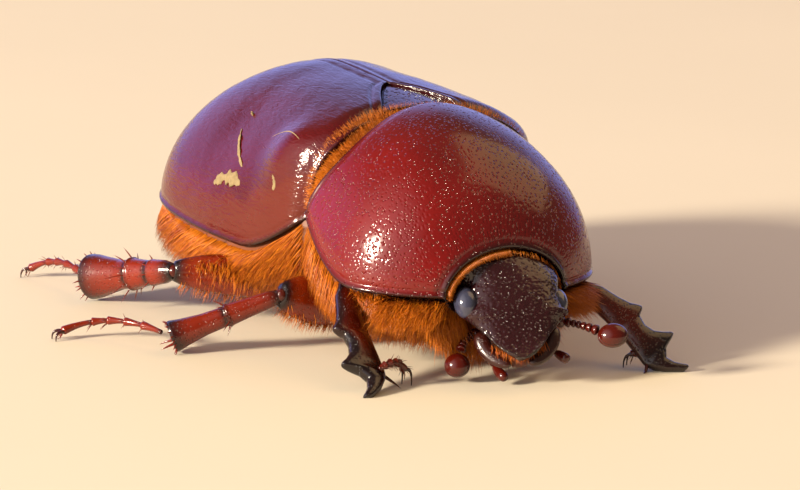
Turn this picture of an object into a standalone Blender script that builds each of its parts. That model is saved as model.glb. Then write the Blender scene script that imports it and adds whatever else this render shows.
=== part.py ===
"""A hornless rhinoceros beetle, life size, standing on its six legs.

The beetle faces -Y, its right side is towards -X and the floor is z = 0. Lengths below are in
millimetres; MM turns them into metres when a mesh is made. The body is modelled about its own
mid plane, and the last step centres the whole animal over the world origin.
"""
import math

import bmesh
import bpy
import numpy as np
from mathutils import Matrix, Vector

MM = 0.001

SHELL = 0.45            # thickness of the pronotum and of the wing cases
GAP = 0.12              # clearance between neighbouring pieces

# Pronotum: the domed shield behind the head
PRONOTUM_FRONT_Y = -8.1
PRONOTUM_HIND_Y = -0.97
PRONOTUM_HALF_WIDTH = 5.9
PRONOTUM_WIDEST = 0.55              # share of the length at which it is widest
PRONOTUM_FRONT_SHARE = 0.47         # front width over the greatest width
PRONOTUM_FRONT_TOP = 4.6
PRONOTUM_CROWN = 10.07
PRONOTUM_CROWN_AT = 0.89

# Wing cases
ELYTRA_BASE_Y = -0.9
ELYTRA_APEX_Y = 12.9
ELYTRA_HALF_WIDTH = 6.87
ELYTRA_WIDEST = 0.57
ELYTRA_CROWN = 10.3
ELYTRA_CROWN_AT = 0.505
ELYTRA_APEX_Z = 4.2
MARGIN_Z = 3.5                      # height of the side margins over the floor
BASE_LOBE = 1.75                    # how far the base reaches forward beside the mid line
BASE_SHOULDER = 0.25                # and how far at the shoulder

# Shoulder hump of each wing case
HUMP_RISE = 0.42
HUMP_ANGLE = math.radians(57)       # from straight up towards the side
HUMP_SPREAD = 0.26
HUMP_AT = 0.12                      # share of the length
HUMP_LENGTH = 0.075

SCUTELLUM_HALF_WIDTH = 1.85
SCUTELLUM_BASE_Y = -0.8
SCUTELLUM_LENGTH = 3.0

# Trunk under the shells
BELLY_Z = 1.1
TRUNK_INSET = SHELL + 0.2           # depth of the trunk under the shells' outer surfaces
LEDGE_DROP = 0.2                    # the underside starts this far below the shells' margins
TRUNK_SPLIT_Y = 4.2                 # between thorax and abdomen
PROTHORAX_SPAN = (0.03, 0.84)       # the shares of the pronotum's length that it fills
THORAX_START = 0.03                 # share of the wing cases' length at its first full ring
ABDOMEN_END = 0.84                  # share of the quarter turn at which the last full ring lies
NECK_SHARE = 0.72                   # size of the thorax's neck over its first ring
NECK_LENGTH = 0.75
PROSTERNUM_FRONT_Y = -6.9           # where the underside starts, behind the mouth
TAIL_BULGE = 0.5                    # how far the hairy tail reaches behind the wing cases

# Head: an empty carries it, turned down and towards the beetle's right
HEAD_ORIGIN = Vector((0.25, -7.95, 4.77))
HEAD_TILT = math.radians(54)
HEAD_YAW = math.radians(-16)
HEAD_ROLL = math.radians(-11.5)
CAPSULE_ROLL = Matrix.Rotation(math.radians(9), 4, 'Y')     # the capsule over its own mouthparts
HEAD_LENGTH = 4.2

CRIMSON = "6A1218"
MAHOGANY = "4A1018"
DARK_BROWN = "2A0F0C"
NEAR_BLACK = "17100F"
BRIGHT_RED = "7E1A0C"
GOLDEN = "B8651A"


# ---------------------------------------------------------------- scene helpers

def clear_scene():
    for obj in list(bpy.data.objects):
        bpy.data.objects.remove(obj, do_unlink=True)


def new_collection(name, hidden=False):
    collection = bpy.data.collections.new(name)
    bpy.context.scene.collection.children.link(collection)
    collection.hide_render = hidden
    return collection


def linear(hex_colour):
    """Linear RGBA of an sRGB hex colour."""
    channels = [int(hex_colour[i:i + 2], 16) / 255 for i in (0, 2, 4)]
    return [c / 12.92 if c <= 0.04045 else ((c + 0.055) / 1.055) ** 2.4 for c in channels] + [1.0]


def material(name, hex_colour, roughness, metallic=0.0):
    """A Principled material, made once and then reused by name."""
    found = bpy.data.materials.get(name)
    if found:
        return found
    made = bpy.data.materials.new(name)
    made.use_nodes = True
    made.diffuse_color = linear(hex_colour)
    shader = made.node_tree.nodes["Principled BSDF"]
    shader.inputs["Base Color"].default_value = linear(hex_colour)
    shader.inputs["Roughness"].default_value = roughness
    shader.inputs["Metallic"].default_value = metallic
    return made


class Beetle:
    """The collections and empties that every piece is linked and parented to."""

    def __init__(self):
        self.parts = new_collection("rhinoceros_beetle")
        self.cutters = new_collection("beetle_cutters", hidden=True)
        self.root = bpy.data.objects.new("beetle", None)
        self.parts.objects.link(self.root)
        self.head = bpy.data.objects.new("head_pose", None)
        self.head.parent = self.root
        self.head.matrix_local = head_matrix()
        self.parts.objects.link(self.head)

    def add(self, name, bm, look, matrix=None, parent=None):
        """Link a piece: `bm` is in mm in the piece's own frame, `matrix` places that frame."""
        return self._link(self.parts, name, bm, matrix, parent, look)

    def add_cutter(self, name, bm, matrix=None, parent=None):
        cutter = self._link(self.cutters, name, bm, matrix, parent)
        cutter.display_type = 'WIRE'
        cutter.hide_render = True
        return cutter

    def _link(self, collection, name, bm, matrix, parent, look=None):
        bmesh.ops.recalc_face_normals(bm, faces=bm.faces)
        mesh = bpy.data.meshes.new(name)
        bm.to_mesh(mesh)
        bm.free()
        mesh.transform(Matrix.Scale(MM, 4))
        mesh.shade_smooth()
        if look:
            mesh.materials.append(look)
        obj = bpy.data.objects.new(name, mesh)
        collection.objects.link(obj)
        obj.parent = parent or self.root
        placed = (matrix or Matrix.Identity(4)).copy()
        placed.translation = placed.translation * MM
        obj.matrix_local = placed
        return obj


def head_matrix():
    """Pose of the head's frame: x to its left, y backwards, z out of its crown; in metres."""
    turn = (Matrix.Rotation(HEAD_YAW, 4, 'Z') @ Matrix.Rotation(HEAD_TILT, 4, 'X')
            @ Matrix.Rotation(HEAD_ROLL, 4, 'Y'))
    return Matrix.Translation(HEAD_ORIGIN * MM) @ turn


def cut(obj, cutter, operation='DIFFERENCE'):
    modifier = obj.modifiers.new(cutter.name, 'BOOLEAN')
    modifier.operation = operation
    modifier.solver = 'EXACT'
    modifier.object = cutter
    return modifier


def thicken(obj, thickness):
    modifier = obj.modifiers.new("shell", 'SOLIDIFY')
    modifier.thickness = thickness * MM
    modifier.offset = -1.0
    return modifier


# ---------------------------------------------------------------- shapes from points

def sheet(points):
    """An open surface over a (rows, columns, 3) array of points."""
    bm = bmesh.new()
    rows, columns, _ = points.shape
    verts = [[bm.verts.new(p) for p in row] for row in points]
    for i in range(rows - 1):
        for j in range(columns - 1):
            bm.faces.new((verts[i][j], verts[i][j + 1], verts[i + 1][j + 1], verts[i + 1][j]))
    return bm


def loft(rings, bulge=0.0):
    """A closed surface through rings of points, each end closed by a fan whose tip bulges out."""
    bm = bmesh.new()
    verts = [[bm.verts.new(p) for p in ring] for ring in rings]
    count = len(verts[0])
    for lower, upper in zip(verts, verts[1:]):
        for j in range(count):
            k = (j + 1) % count
            bm.faces.new((lower[j], lower[k], upper[k], upper[j]))
    for end, neighbour in ((0, 1), (-1, -2)):
        centre = np.mean(rings[end], axis=0)
        outward = centre - np.mean(rings[neighbour], axis=0)
        outward /= np.linalg.norm(outward)
        tip = bm.verts.new(centre + bulge * outward)
        for j in range(count):
            bm.faces.new((verts[end][j], verts[end][(j + 1) % count], tip))
    return bm


def signed_power(value, power):
    return np.sign(value) * np.abs(value) ** power


def inset(surface, across, along, depth):
    """Points of `surface(across, along)` moved inwards along its normals, one row per `along`."""
    u, v = np.meshgrid(across, along)
    step = 1e-4
    low, high = np.maximum(v - step, 0), np.minimum(v + step, 1)
    normals = np.cross(surface(u + step, v) - surface(u - step, v), surface(u, high) - surface(u, low))
    normals /= np.linalg.norm(normals, axis=-1, keepdims=True)
    return surface(u, v) - depth * normals


def mirrored(points):
    """The same surface on the other side of the mid plane, with the same winding."""
    return (points * np.array([-1.0, 1.0, 1.0]))[:, ::-1]


def quarter_fall(share, start, power):
    """1 up to `start`, then down to 0 at share 1 along a superellipse's quarter."""
    q = np.clip((share - start) / (1 - start), 0, 1)
    return np.clip(1 - q ** power, 0, 1) ** (1 / power)


# ---------------------------------------------------------------- pronotum and prothorax

def pronotum_half_width(v):
    reach = PRONOTUM_WIDEST / math.sqrt(1 - PRONOTUM_FRONT_SHARE ** 2)
    front = np.sqrt(np.clip(1 - ((PRONOTUM_WIDEST - v) / reach) ** 2, 0, 1))
    hind = 1 - 0.05 * ((v - PRONOTUM_WIDEST) / (1 - PRONOTUM_WIDEST)) ** 2
    return PRONOTUM_HALF_WIDTH * np.where(v < PRONOTUM_WIDEST, front, hind)


def pronotum_margin_z(v):
    return MARGIN_Z + 2.1 * np.clip((v - 0.35) / 0.65, 0, 1) ** 1.7


def pronotum_top_z(v):
    q = (PRONOTUM_CROWN_AT - v) / (PRONOTUM_CROWN_AT * 1.01)
    rise = np.where(v < PRONOTUM_CROWN_AT, np.sqrt(np.clip(1 - q ** 2, 0, 1)),
                    1 - 0.05 * ((v - PRONOTUM_CROWN_AT) / (1 - PRONOTUM_CROWN_AT)) ** 2)
    return PRONOTUM_FRONT_TOP + (PRONOTUM_CROWN - PRONOTUM_FRONT_TOP) * rise


def pronotum_point(u, v):
    """u runs from -1 at the right margin to 1 at the left, v from 0 in front to 1 behind."""
    angle = u * math.pi / 2
    sine, cosine = np.sin(angle), np.clip(np.cos(angle), 0, 1)
    power = 2 / (1.93 * (1 - v) + 1.78 * v)
    x = pronotum_half_width(v) * signed_power(sine, power)
    lobes = 0.4 * sine ** 2 + 2.6 * (sine * cosine) ** 2    # the hind edge bows out on each side
    hind_y = PRONOTUM_HIND_Y - lobes
    y = PRONOTUM_FRONT_Y * (1 - v) + hind_y * v
    low = pronotum_margin_z(v)
    z = low + (pronotum_top_z(v) - low) * cosine ** power
    return np.stack(np.broadcast_arrays(x, y, z), axis=-1)


def belly_arc(half_width, ledge_z, belly_z, y, count=11):
    """Lower half of a trunk ring, from the left margin round the belly to the right margin."""
    angle = np.linspace(0, math.pi, count)
    x = half_width * signed_power(np.cos(angle), 0.85)
    z = ledge_z - (ledge_z - belly_z) * np.sin(angle) ** 0.75
    return np.stack(np.broadcast_arrays(x, y, z), axis=-1)


def build_pronotum(beetle):
    u, v = np.meshgrid(np.linspace(-1, 1, 19), np.linspace(0, 1, 12))
    obj = beetle.add("pronotum", sheet(pronotum_point(u, v)),
                     material("pronotum_shell", CRIMSON, 0.22))
    thicken(obj, SHELL)


def build_prothorax(beetle, cutters):
    """The soft underside of the first segment, hairy below, with pockets for head and legs."""
    v_rows = np.linspace(*PROTHORAX_SPAN, 7)
    upper = inset(pronotum_point, np.linspace(-1, 1, 15), v_rows, TRUNK_INSET)
    rings = []
    for row, v in zip(upper, v_rows):
        ledge = float(pronotum_margin_z(v)) - LEDGE_DROP
        half_width = float(pronotum_half_width(v)) - 0.25
        y = PROSTERNUM_FRONT_Y + (PRONOTUM_HIND_Y - PROSTERNUM_FRONT_Y) * v
        rings.append(np.concatenate([row, belly_arc(half_width, ledge, BELLY_Z, y)]))
    look = material("hairy_underside", GOLDEN, 0.55)
    obj = beetle.add("prothorax", loft(rings), look)
    for cutter in cutters:
        cut(obj, cutter)


# ---------------------------------------------------------------- wing cases and trunk

def elytra_half_width(g):
    front = 1 - 0.18 * (np.clip(ELYTRA_WIDEST - g, 0, 1) / ELYTRA_WIDEST) ** 2
    return ELYTRA_HALF_WIDTH * front * quarter_fall(g, ELYTRA_WIDEST, 2.75)


def elytra_margin_z(g):
    shoulder = 1.9 * np.clip((0.25 - g) / 0.25, 0, 1) ** 1.6
    return MARGIN_Z + shoulder + (ELYTRA_APEX_Z - MARGIN_Z) * g ** 3


def elytra_top_z(g):
    front = 1 - 0.07 * (np.clip(ELYTRA_CROWN_AT - g, 0, 1) / ELYTRA_CROWN_AT) ** 2
    rise = front * quarter_fall(g, ELYTRA_CROWN_AT, 2.1)
    return np.maximum(ELYTRA_APEX_Z + (ELYTRA_CROWN - ELYTRA_APEX_Z) * rise, elytra_margin_z(g))


def elytra_section_power(g):
    front = np.clip(1 - 2 * g, 0, 1)
    return 2 / (2.03 + 0.81 * front * front * (3 - 2 * front))


def elytra_point(angle, g):
    """`angle` is 0 over the mid line and a quarter turn at the left margin."""
    power = elytra_section_power(g)
    x = elytra_half_width(g) * signed_power(np.sin(angle), power)
    low = elytra_margin_z(g)
    z = low + (elytra_top_z(g) - low) * np.clip(np.cos(angle), 0, 1) ** power
    lobe = BASE_LOBE * (np.sin(angle) * np.cos(angle)) ** 2 + BASE_SHOULDER * np.sin(angle) ** 2
    y = ELYTRA_BASE_Y + (ELYTRA_APEX_Y - ELYTRA_BASE_Y) * g - lobe * np.clip(1 - 4 * g, 0, 1) ** 2
    hump = HUMP_RISE * np.exp(-((np.abs(angle) - HUMP_ANGLE) / HUMP_SPREAD) ** 2
                              - ((g - HUMP_AT) / HUMP_LENGTH) ** 2)
    x = x + hump * np.sin(angle)
    z = z + hump * np.cos(angle)
    return np.stack(np.broadcast_arrays(x, y, z), axis=-1)


def length_share(y):
    return (y - ELYTRA_BASE_Y) / (ELYTRA_APEX_Y - ELYTRA_BASE_Y)


def lengthwise(count, end=1.0):
    """Shares of the wing cases' length, closer together towards the rounded rear."""
    return np.sin(np.linspace(0, end, count) * math.pi / 2)


def scutellum_half_width(y):
    share = np.clip((y - SCUTELLUM_BASE_Y) / SCUTELLUM_LENGTH, 0, 1)
    return SCUTELLUM_HALF_WIDTH * (1 - share) ** 0.75


def elytron_surface(columns, g_rows):
    """The left wing case: its inner edge follows the mid line and leaves room for the scutellum."""
    rows = []
    for g in g_rows:
        y = ELYTRA_BASE_Y + (ELYTRA_APEX_Y - ELYTRA_BASE_Y) * g
        inner_x = GAP / 2 + (scutellum_half_width(y) + GAP / 2 if y < SCUTELLUM_BASE_Y
                             + SCUTELLUM_LENGTH else 0)
        width = max(float(elytra_half_width(g)), inner_x)
        start = math.asin((inner_x / width) ** (1 / elytra_section_power(g)))
        rows.append(elytra_point(np.linspace(start, math.pi / 2, columns), g))
    return np.array(rows)


def build_elytra(beetle):
    surface = elytron_surface(10, lengthwise(17, end=0.985))
    look = material("wing_case", MAHOGANY, 0.18)
    for side, points in (("left", surface), ("right", mirrored(surface))):
        thicken(beetle.add(f"elytron_{side}", sheet(points), look), SHELL)


def build_scutellum(beetle):
    rows = []
    for y in SCUTELLUM_BASE_Y + SCUTELLUM_LENGTH * lengthwise(6, end=0.94):
        x = np.linspace(-1, 1, 7) * scutellum_half_width(y)
        z = elytra_top_z(length_share(y)) - 0.08 - 0.04 * x ** 2
        rows.append(np.stack(np.broadcast_arrays(x, y, z), axis=-1))
    obj = beetle.add("scutellum", sheet(np.array(rows)), material("scutellum_plate", DARK_BROWN, 0.2))
    thicken(obj, SHELL - 0.08)


def abdomen_belly_z(g):
    top = ELYTRA_APEX_Z - GAP
    return top - (top - BELLY_Z) * math.sqrt(1 - min(g, 1.0) ** 5)


def trunk_rings(g_rows):
    """Rings that fill the room under the wing cases and bulge below their margins."""
    angle = np.linspace(-math.pi / 2, math.pi / 2, 15)
    upper = inset(elytra_point, angle, g_rows, TRUNK_INSET)
    rings = []
    for row, g in zip(upper, g_rows):
        y = ELYTRA_BASE_Y + (ELYTRA_APEX_Y - ELYTRA_BASE_Y) * g
        half_width = float(elytra_half_width(g)) - 0.05
        ledge = float(elytra_margin_z(g)) - LEDGE_DROP
        belly = min(abdomen_belly_z(g), ledge - 0.2)
        arc = belly_arc(half_width, ledge, belly, y)
        arc[:, 1] += TAIL_BULGE * g ** 4 * (1 - np.linspace(-1, 1, len(arc)) ** 4)
        rings.append(np.concatenate([row, arc]))
    return rings


def build_thorax(beetle, cutters):
    """Meso- and metathorax in one, from inside the pronotum's rear to the abdomen."""
    rings = trunk_rings(np.linspace(THORAX_START, length_share(TRUNK_SPLIT_Y), 6))
    neck = rings[0].copy()
    middle = neck.mean(axis=0)
    neck = middle + (neck - middle) * np.array([NECK_SHARE, 1, NECK_SHARE])
    neck[:, 1] -= NECK_LENGTH
    obj = beetle.add("thorax", loft([neck] + rings), material("hairy_underside", GOLDEN, 0.55))
    for cutter in cutters:
        cut(obj, cutter)


def build_abdomen(beetle, cutters):
    start = math.asin(length_share(TRUNK_SPLIT_Y + 2 * GAP)) / (math.pi / 2)
    rings = trunk_rings(np.sin(np.linspace(start, ABDOMEN_END, 8) * math.pi / 2))
    tail = rings[-1]
    closing = (tail - tail.mean(axis=0)) * 0.5 + np.array([0, 0, ELYTRA_APEX_Z - 0.85])
    under_shell = tail[:, 2] > ELYTRA_APEX_Z
    closing[:, 1] = np.where(under_shell, ELYTRA_APEX_Y - TRUNK_INSET, tail[:, 1] + 0.1)
    obj = beetle.add("abdomen", loft(rings + [closing]),
                     material("abdomen_hair", "8C4212", 0.5))
    for cutter in cutters:
        cut(obj, cutter)


# ---------------------------------------------------------------- head

# Shares down the head: distance from the neck, half width, height of the edge, of the middle
HEAD_SECTIONS = (
    (-0.6, 1.15, -1.20, -0.95, 1.2),
    (0.0, 1.60, -0.80, -0.50, 1.8),
    (0.4, 1.88, -0.55, -0.14, 2.1),
    (0.9, 2.08, -0.42, 0.15, 2.1),
    (1.5, 2.10, -0.38, 0.28, 1.9),
    (1.95, 2.14, -0.36, 0.30, 1.1),
    (2.13, 2.28, -0.35, 0.28, 0.6),
    (2.35, 1.95, -0.28, 0.26, 0.5),
    (2.6, 1.68, -0.20, 0.24, 0.5),
    (3.1, 1.24, -0.02, 0.18, 0.5),
    (3.6, 0.88, 0.08, 0.14, 0.5),
    (4.0, 0.50, 0.22, 0.16, 0.5),
    (HEAD_LENGTH, 0.24, 0.34, 0.30, 0.5),
)


def head_loft(grow=0.0):
    """The head from the neck to the tip of the clypeus; `grow` makes a larger copy to cut with."""
    rings = []
    angles = np.linspace(0, 2 * math.pi, 16, endpoint=False)
    for station, half_width, edge_z, middle_z, depth in HEAD_SECTIONS:
        forward = station + grow * (station / HEAD_LENGTH - 0.5) * 2
        x = (half_width + grow) * signed_power(np.cos(angles), 0.9)
        height = np.where(np.sin(angles) > 0, middle_z - edge_z + grow, depth + grow)
        z = edge_z + height * signed_power(np.sin(angles), 0.85)
        rings.append(np.stack([x, np.full_like(x, -forward), z], axis=-1))
    return loft(rings)


def ball(radii, centre, segments=12, rings=7):
    bm = bmesh.new()
    bmesh.ops.create_uvsphere(bm, u_segments=segments, v_segments=rings, radius=1.0)
    bmesh.ops.scale(bm, vec=radii, verts=bm.verts)
    bmesh.ops.translate(bm, vec=centre, verts=bm.verts)
    return bm


def tube(path, radii, sides):
    """A round tube along a path of points, with a radius at each."""
    path = [Vector(p) for p in path]
    rings = []
    across = None
    for i, point in enumerate(path):
        ahead = (path[min(i + 1, len(path) - 1)] - path[max(i - 1, 0)]).normalized()
        across = (across or ahead.orthogonal())
        across = (across - ahead * across.dot(ahead)).normalized()
        upward = ahead.cross(across)
        ring = []
        for k in range(sides):
            turn = 2 * math.pi * k / sides
            ring.append(np.array(point + radii[i] * (math.cos(turn) * across
                                                     + math.sin(turn) * upward)))
        rings.append(np.array(ring))
    return loft(rings, bulge=0.3 * min(radii[0], radii[-1]))


def bezier(start, control, end, shares):
    """Points of a curve that leaves `start` towards `control` and arrives at `end`."""
    start, control, end = Vector(start), Vector(control), Vector(end)
    return [start * (1 - t) ** 2 + control * (2 * t * (1 - t)) + end * t ** 2 for t in shares]


EYE_RADII = (0.43, 0.48, 0.43)
EYE_CENTRE = {"left": (1.90, -1.55, -0.60), "right": (-1.97, -1.60, -0.28)}

# Feelers and mouthparts in the head's frame: start, control point and end of each curve
ANTENNA = {
    "right": ((-1.30, -2.45, -1.40), (-2.05, -2.45, -1.30), (-2.30, -3.22, -1.10)),
    "left": ((1.35, -2.40, -1.40), (2.35, -2.40, -1.35), (3.20, -2.92, -1.00)),
}
CLUB = {
    "right": ((-2.50, -3.84, -1.10), (0.52, 0.50, 0.45)),
    "left": ((3.86, -3.16, -0.98), (0.62, 0.50, 0.45)),
}
PALP = {
    "right": ((-1.05, -3.05, -1.75), (-1.10, -3.90, -1.55), (-0.58, -4.55, -1.22)),
    "left": ((1.05, -3.05, -1.75), (1.60, -3.50, -1.55), (1.98, -3.95, -1.25)),
}
MANDIBLE = ((1.30, -2.80, -0.95), (1.75, -3.65, -0.95), (0.50, -4.15, -0.75))
MANDIBLE_RADII = (0.20, 0.27, 0.30, 0.29, 0.25, 0.16)
PALP_RADII = (0.18, 0.23, 0.22, 0.26, 0.27, 0.12)
CLUB_GROOVE = 0.30                  # share of the club's half height at which the leaves meet


def build_head(beetle):
    pockets = []
    lens = material("eye_lens", "0E0C14", 0.1)
    roomy = [r + GAP / 2 for r in EYE_RADII]
    for side, centre in EYE_CENTRE.items():
        beetle.add(f"eye_{side}", ball(EYE_RADII, centre), lens, CAPSULE_ROLL, beetle.head)
        pockets.append(beetle.add_cutter(f"eye_pocket_{side}", ball(roomy, centre), CAPSULE_ROLL,
                                         beetle.head))
    head = beetle.add("head", head_loft(), material("head_capsule", NEAR_BLACK, 0.35),
                      CAPSULE_ROLL, beetle.head)
    for pocket in pockets:
        cut(head, pocket)


def build_mouthparts(beetle):
    """The block under the clypeus: upper lip, maxillae and lower lip together."""
    sections = ((2.35, 0.78, 0.36), (2.75, 0.85, 0.50), (3.2, 0.62, 0.52), (3.75, 0.35, 0.35))
    rings = []
    angles = np.linspace(0, 2 * math.pi, 10, endpoint=False)
    for forward, half_width, half_height in sections:
        z = -1.45 + 0.12 * forward + half_height * signed_power(np.sin(angles), 0.8)
        rings.append(np.stack([half_width * signed_power(np.cos(angles), 0.8),
                               np.full_like(z, -forward), z - 0.12], axis=-1))
    beetle.add("mouthparts", loft(rings, bulge=0.05), material("mouth_brown", "5A1D0B", 0.4),
               parent=beetle.head)


def build_mandibles(beetle):
    """Two flat curved jaws that show on each side of the clypeus."""
    look = material("jaw_black", "140B0A", 0.2)
    shares = np.linspace(0, 1, len(MANDIBLE_RADII))
    for side, sign in (("left", 1), ("right", -1)):
        points = [(sign * x, y, z) for x, y, z in bezier(*MANDIBLE, shares)]
        beetle.add(f"mandible_{side}", tube(points, MANDIBLE_RADII, 8), look, parent=beetle.head)


def build_feelers(beetle):
    """Antennae with a beaded stem and a club of three leaves, and one pair of palps."""
    red = material("feeler_red", BRIGHT_RED, 0.2)
    stem_count = 12
    beads = [0.30] + [0.26 if i % 2 else 0.22 for i in range(stem_count - 2)] + [0.2]
    for side in ("right", "left"):
        stem = bezier(*ANTENNA[side], np.linspace(0, 1, stem_count))
        beetle.add(f"antenna_{side}", tube(stem, beads, 6), red, parent=beetle.head)
        beetle.add(f"antenna_club_{side}", club(side), red, parent=beetle.head)
        palp = bezier(*PALP[side], np.linspace(0, 1, len(PALP_RADII)))
        beetle.add(f"palp_{side}", tube(palp, PALP_RADII, 6), red, parent=beetle.head)


def club(side):
    """Three leaves pressed together: a ball with two shallow grooves round it."""
    centre, radii = CLUB[side]
    rings = []
    angles = np.linspace(0, 2 * math.pi, 8, endpoint=False)
    half = (0.0, 0.22, CLUB_GROOVE, 0.38, 0.68, 0.92)
    for share in [-s for s in reversed(half[1:])] + list(half):
        groove = 0.86 if abs(share) == CLUB_GROOVE else 1.0
        size = math.sqrt(1 - share ** 2) * groove
        rings.append(np.stack([centre[0] + radii[0] * size * np.cos(angles),
                               centre[1] + radii[1] * size * np.sin(angles),
                               np.full_like(angles, centre[2] + radii[2] * share)], axis=-1))
    return loft(rings, bulge=0.04)


# ---------------------------------------------------------------- legs

def segment_matrix(start, end, broad):
    """Frame of a leg segment: z from start to end, x along its broad side."""
    z_axis = (Vector(end) - Vector(start)).normalized()
    broad = Vector(broad)
    x_axis = (broad - z_axis * broad.dot(z_axis)).normalized()
    y_axis = z_axis.cross(x_axis)
    turn = Matrix((x_axis, y_axis, z_axis)).transposed().to_4x4()
    return Matrix.Translation(Vector(start)) @ turn


def plate_loft(stations, sides):
    """A flattened limb: each station is (distance, inner x, outer x, half thickness)."""
    rings = []
    angles = np.linspace(0, 2 * math.pi, sides, endpoint=False)
    for distance, inner, outer, thickness in stations:
        x = (inner + outer) / 2 + (outer - inner) / 2 * np.cos(angles)
        y = thickness * signed_power(np.sin(angles), 0.85)
        rings.append(np.stack([x, y, np.full_like(x, distance)], axis=-1))
    return loft(rings, bulge=0.06)


def femur_stations(length, breadth, thickness, grow=0.0):
    """A swollen thigh, rounded at the hip and narrower at the knee."""
    stations = []
    for share, swell in ((0.0, 0.55), (0.12, 0.80), (0.35, 1.0), (0.6, 0.98), (0.82, 0.80),
                         (0.95, 0.60), (1.0, 0.45)):
        half = breadth / 2 * swell + grow
        reach = share * length + grow * (2 * share - 1)
        stations.append((reach, -half, half, thickness / 2 * swell + grow))
    return stations


def fore_tibia_stations(length, grow=0.0):
    """A digging shin: broad and flat, with three teeth on its outer edge, the last at the tip."""
    shape = (
        (0.00, -0.30, 0.35, 0.28),
        (0.14, -0.42, 0.66, 0.32),
        (0.28, -0.45, 0.78, 0.34),
        (0.425, -0.50, 1.10, 0.34),
        (0.46, -0.52, 0.66, 0.34),
        (0.56, -0.58, 0.62, 0.35),
        (0.68, -0.72, 0.98, 0.34),
        (0.73, -0.78, 1.16, 0.32),
        (0.76, -0.76, 0.42, 0.30),
        (0.82, -0.66, 0.12, 0.28),
        (0.90, -0.40, 0.26, 0.27),
        (0.96, -0.10, 0.46, 0.24),
        (1.00, 0.22, 0.56, 0.20),
    )
    return [(share * length, inner - grow, outer + grow, half + grow)
            for share, inner, outer, half in shape]


def trumpet_tibia_stations(length, knee, apex, grow=0.0):
    """A walking shin that widens to its end in three steps, each ringed by a ridge."""
    shape = ((0.0, 0.0), (0.10, 0.30), (0.24, 0.42), (0.27, 0.30), (0.48, 0.58), (0.52, 0.42),
             (0.70, 0.50), (0.88, 0.82), (0.97, 1.0), (1.0, 0.92))
    stations = []
    for share, widen in shape:
        half = knee + (apex - knee) * widen + grow
        stations.append((share * length, -half, half, half * 0.92))
    return stations


# Each leg: hip, knee, ankle, the broad direction of thigh and shin, and the foot's curve
LEGS = {
    "fore_right": dict(hip=(-2.3, -5.0, 1.95), knee=(-5.2, -4.2, 3.25), ankle=(-6.35, -9.1, -0.08),
                       thigh=(0, -1, 0), shin=(-0.97, 0.07, 0.22),
                       foot=((-5.10, -8.20, 0.85), (-4.65, -8.20, 1.15), (-4.2, -7.85, 0.4))),
    "fore_left": dict(hip=(2.3, -5.3, 1.95), knee=(4.8, -6.5, 3.0), ankle=(7.6, -9.9, -0.08),
                      thigh=(0, -1, 0), shin=(0.82, 0.12, 0.55),
                      foot=((6.0, -9.05, 0.75), (5.75, -9.0, 1.0), (5.55, -8.4, 0.42))),
    "mid_right": dict(hip=(-2.7, -0.9, 1.55), knee=(-6.9, -2.0, 2.5), ankle=(-11.0, -0.35, 0.66),
                      thigh=(0, 0, 1), shin=(0, 0, 1),
                      foot=((-11.35, -0.15, 0.85), (-12.2, 3.0, 1.1), (-14.35, 2.95, 0.35))),
    "mid_left": dict(hip=(2.7, -0.9, 1.55), knee=(7.2, 0.6, 2.5), ankle=(8.3, 5.1, 0.66),
                     thigh=(0, 0, 1), shin=(0, 0, 1),
                     foot=((8.4, 5.5, 0.85), (8.6, 8.3, 1.1), (9.2, 9.3, 0.35))),
    "hind_right": dict(hip=(-2.7, 2.6, 1.75), knee=(-8.6, 4.3, 2.15), ankle=(-10.2, 8.8, 0.97),
                       thigh=(0, 0, 1), shin=(0, 0, 1),
                       foot=((-10.35, 9.2, 0.95), (-10.3, 11.9, 1.35), (-11.15, 13.0, 0.4))),
    "hind_left": dict(hip=(2.7, 2.6, 1.75), knee=(7.3, 6.0, 2.15), ankle=(7.9, 10.3, 0.97),
                      thigh=(0, 0, 1), shin=(0, 0, 1),
                      foot=((8.0, 10.7, 0.95), (8.1, 12.9, 1.3), (8.9, 13.6, 0.4))),
}

# Along a foot: share of its length and radius, five joints that each widen to their end
FOOT_JOINTS = (
    (0.0, 0.16), (0.16, 0.26),
    (0.20, 0.20), (0.34, 0.26),
    (0.38, 0.20), (0.52, 0.26),
    (0.56, 0.20), (0.68, 0.25),
    (0.72, 0.18), (0.88, 0.20), (1.0, 0.24),
)

# Breadth and thickness of the thigh, knee and apex radius of the shin
BUILD = {
    "fore": (1.7, 1.3, None, None),
    "mid": (2.1, 1.35, 0.24, 0.66),
    "hind": (1.85, 1.35, 0.33, 0.97),
}

FLOOR_SLAB = (60, 60, 1.0)


def floor_cutter(beetle):
    """A slab under z = 0: it leaves a small flat wherever a foot reaches the floor."""
    bm = bmesh.new()
    bmesh.ops.create_cube(bm, size=1.0)
    bmesh.ops.scale(bm, vec=FLOOR_SLAB, verts=bm.verts)
    bmesh.ops.translate(bm, vec=(0, 0, -FLOOR_SLAB[2] / 2), verts=bm.verts)
    return beetle.add_cutter("floor", bm)


def tibia_stations(name, leg, grow=0.0):
    length = (Vector(leg["ankle"]) - Vector(leg["knee"])).length
    pair = name.split("_")[0]
    if pair == "fore":
        return fore_tibia_stations(length, grow)
    return trumpet_tibia_stations(length, BUILD[pair][2], BUILD[pair][3], grow)


def femur_parts(name, leg, grow=0.0):
    breadth, thickness = BUILD[name.split("_")[0]][:2]
    length = (Vector(leg["knee"]) - Vector(leg["hip"])).length
    bm = plate_loft(femur_stations(length, breadth, thickness, grow), 10)
    return bm, segment_matrix(leg["hip"], leg["knee"], leg["thigh"])


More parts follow.
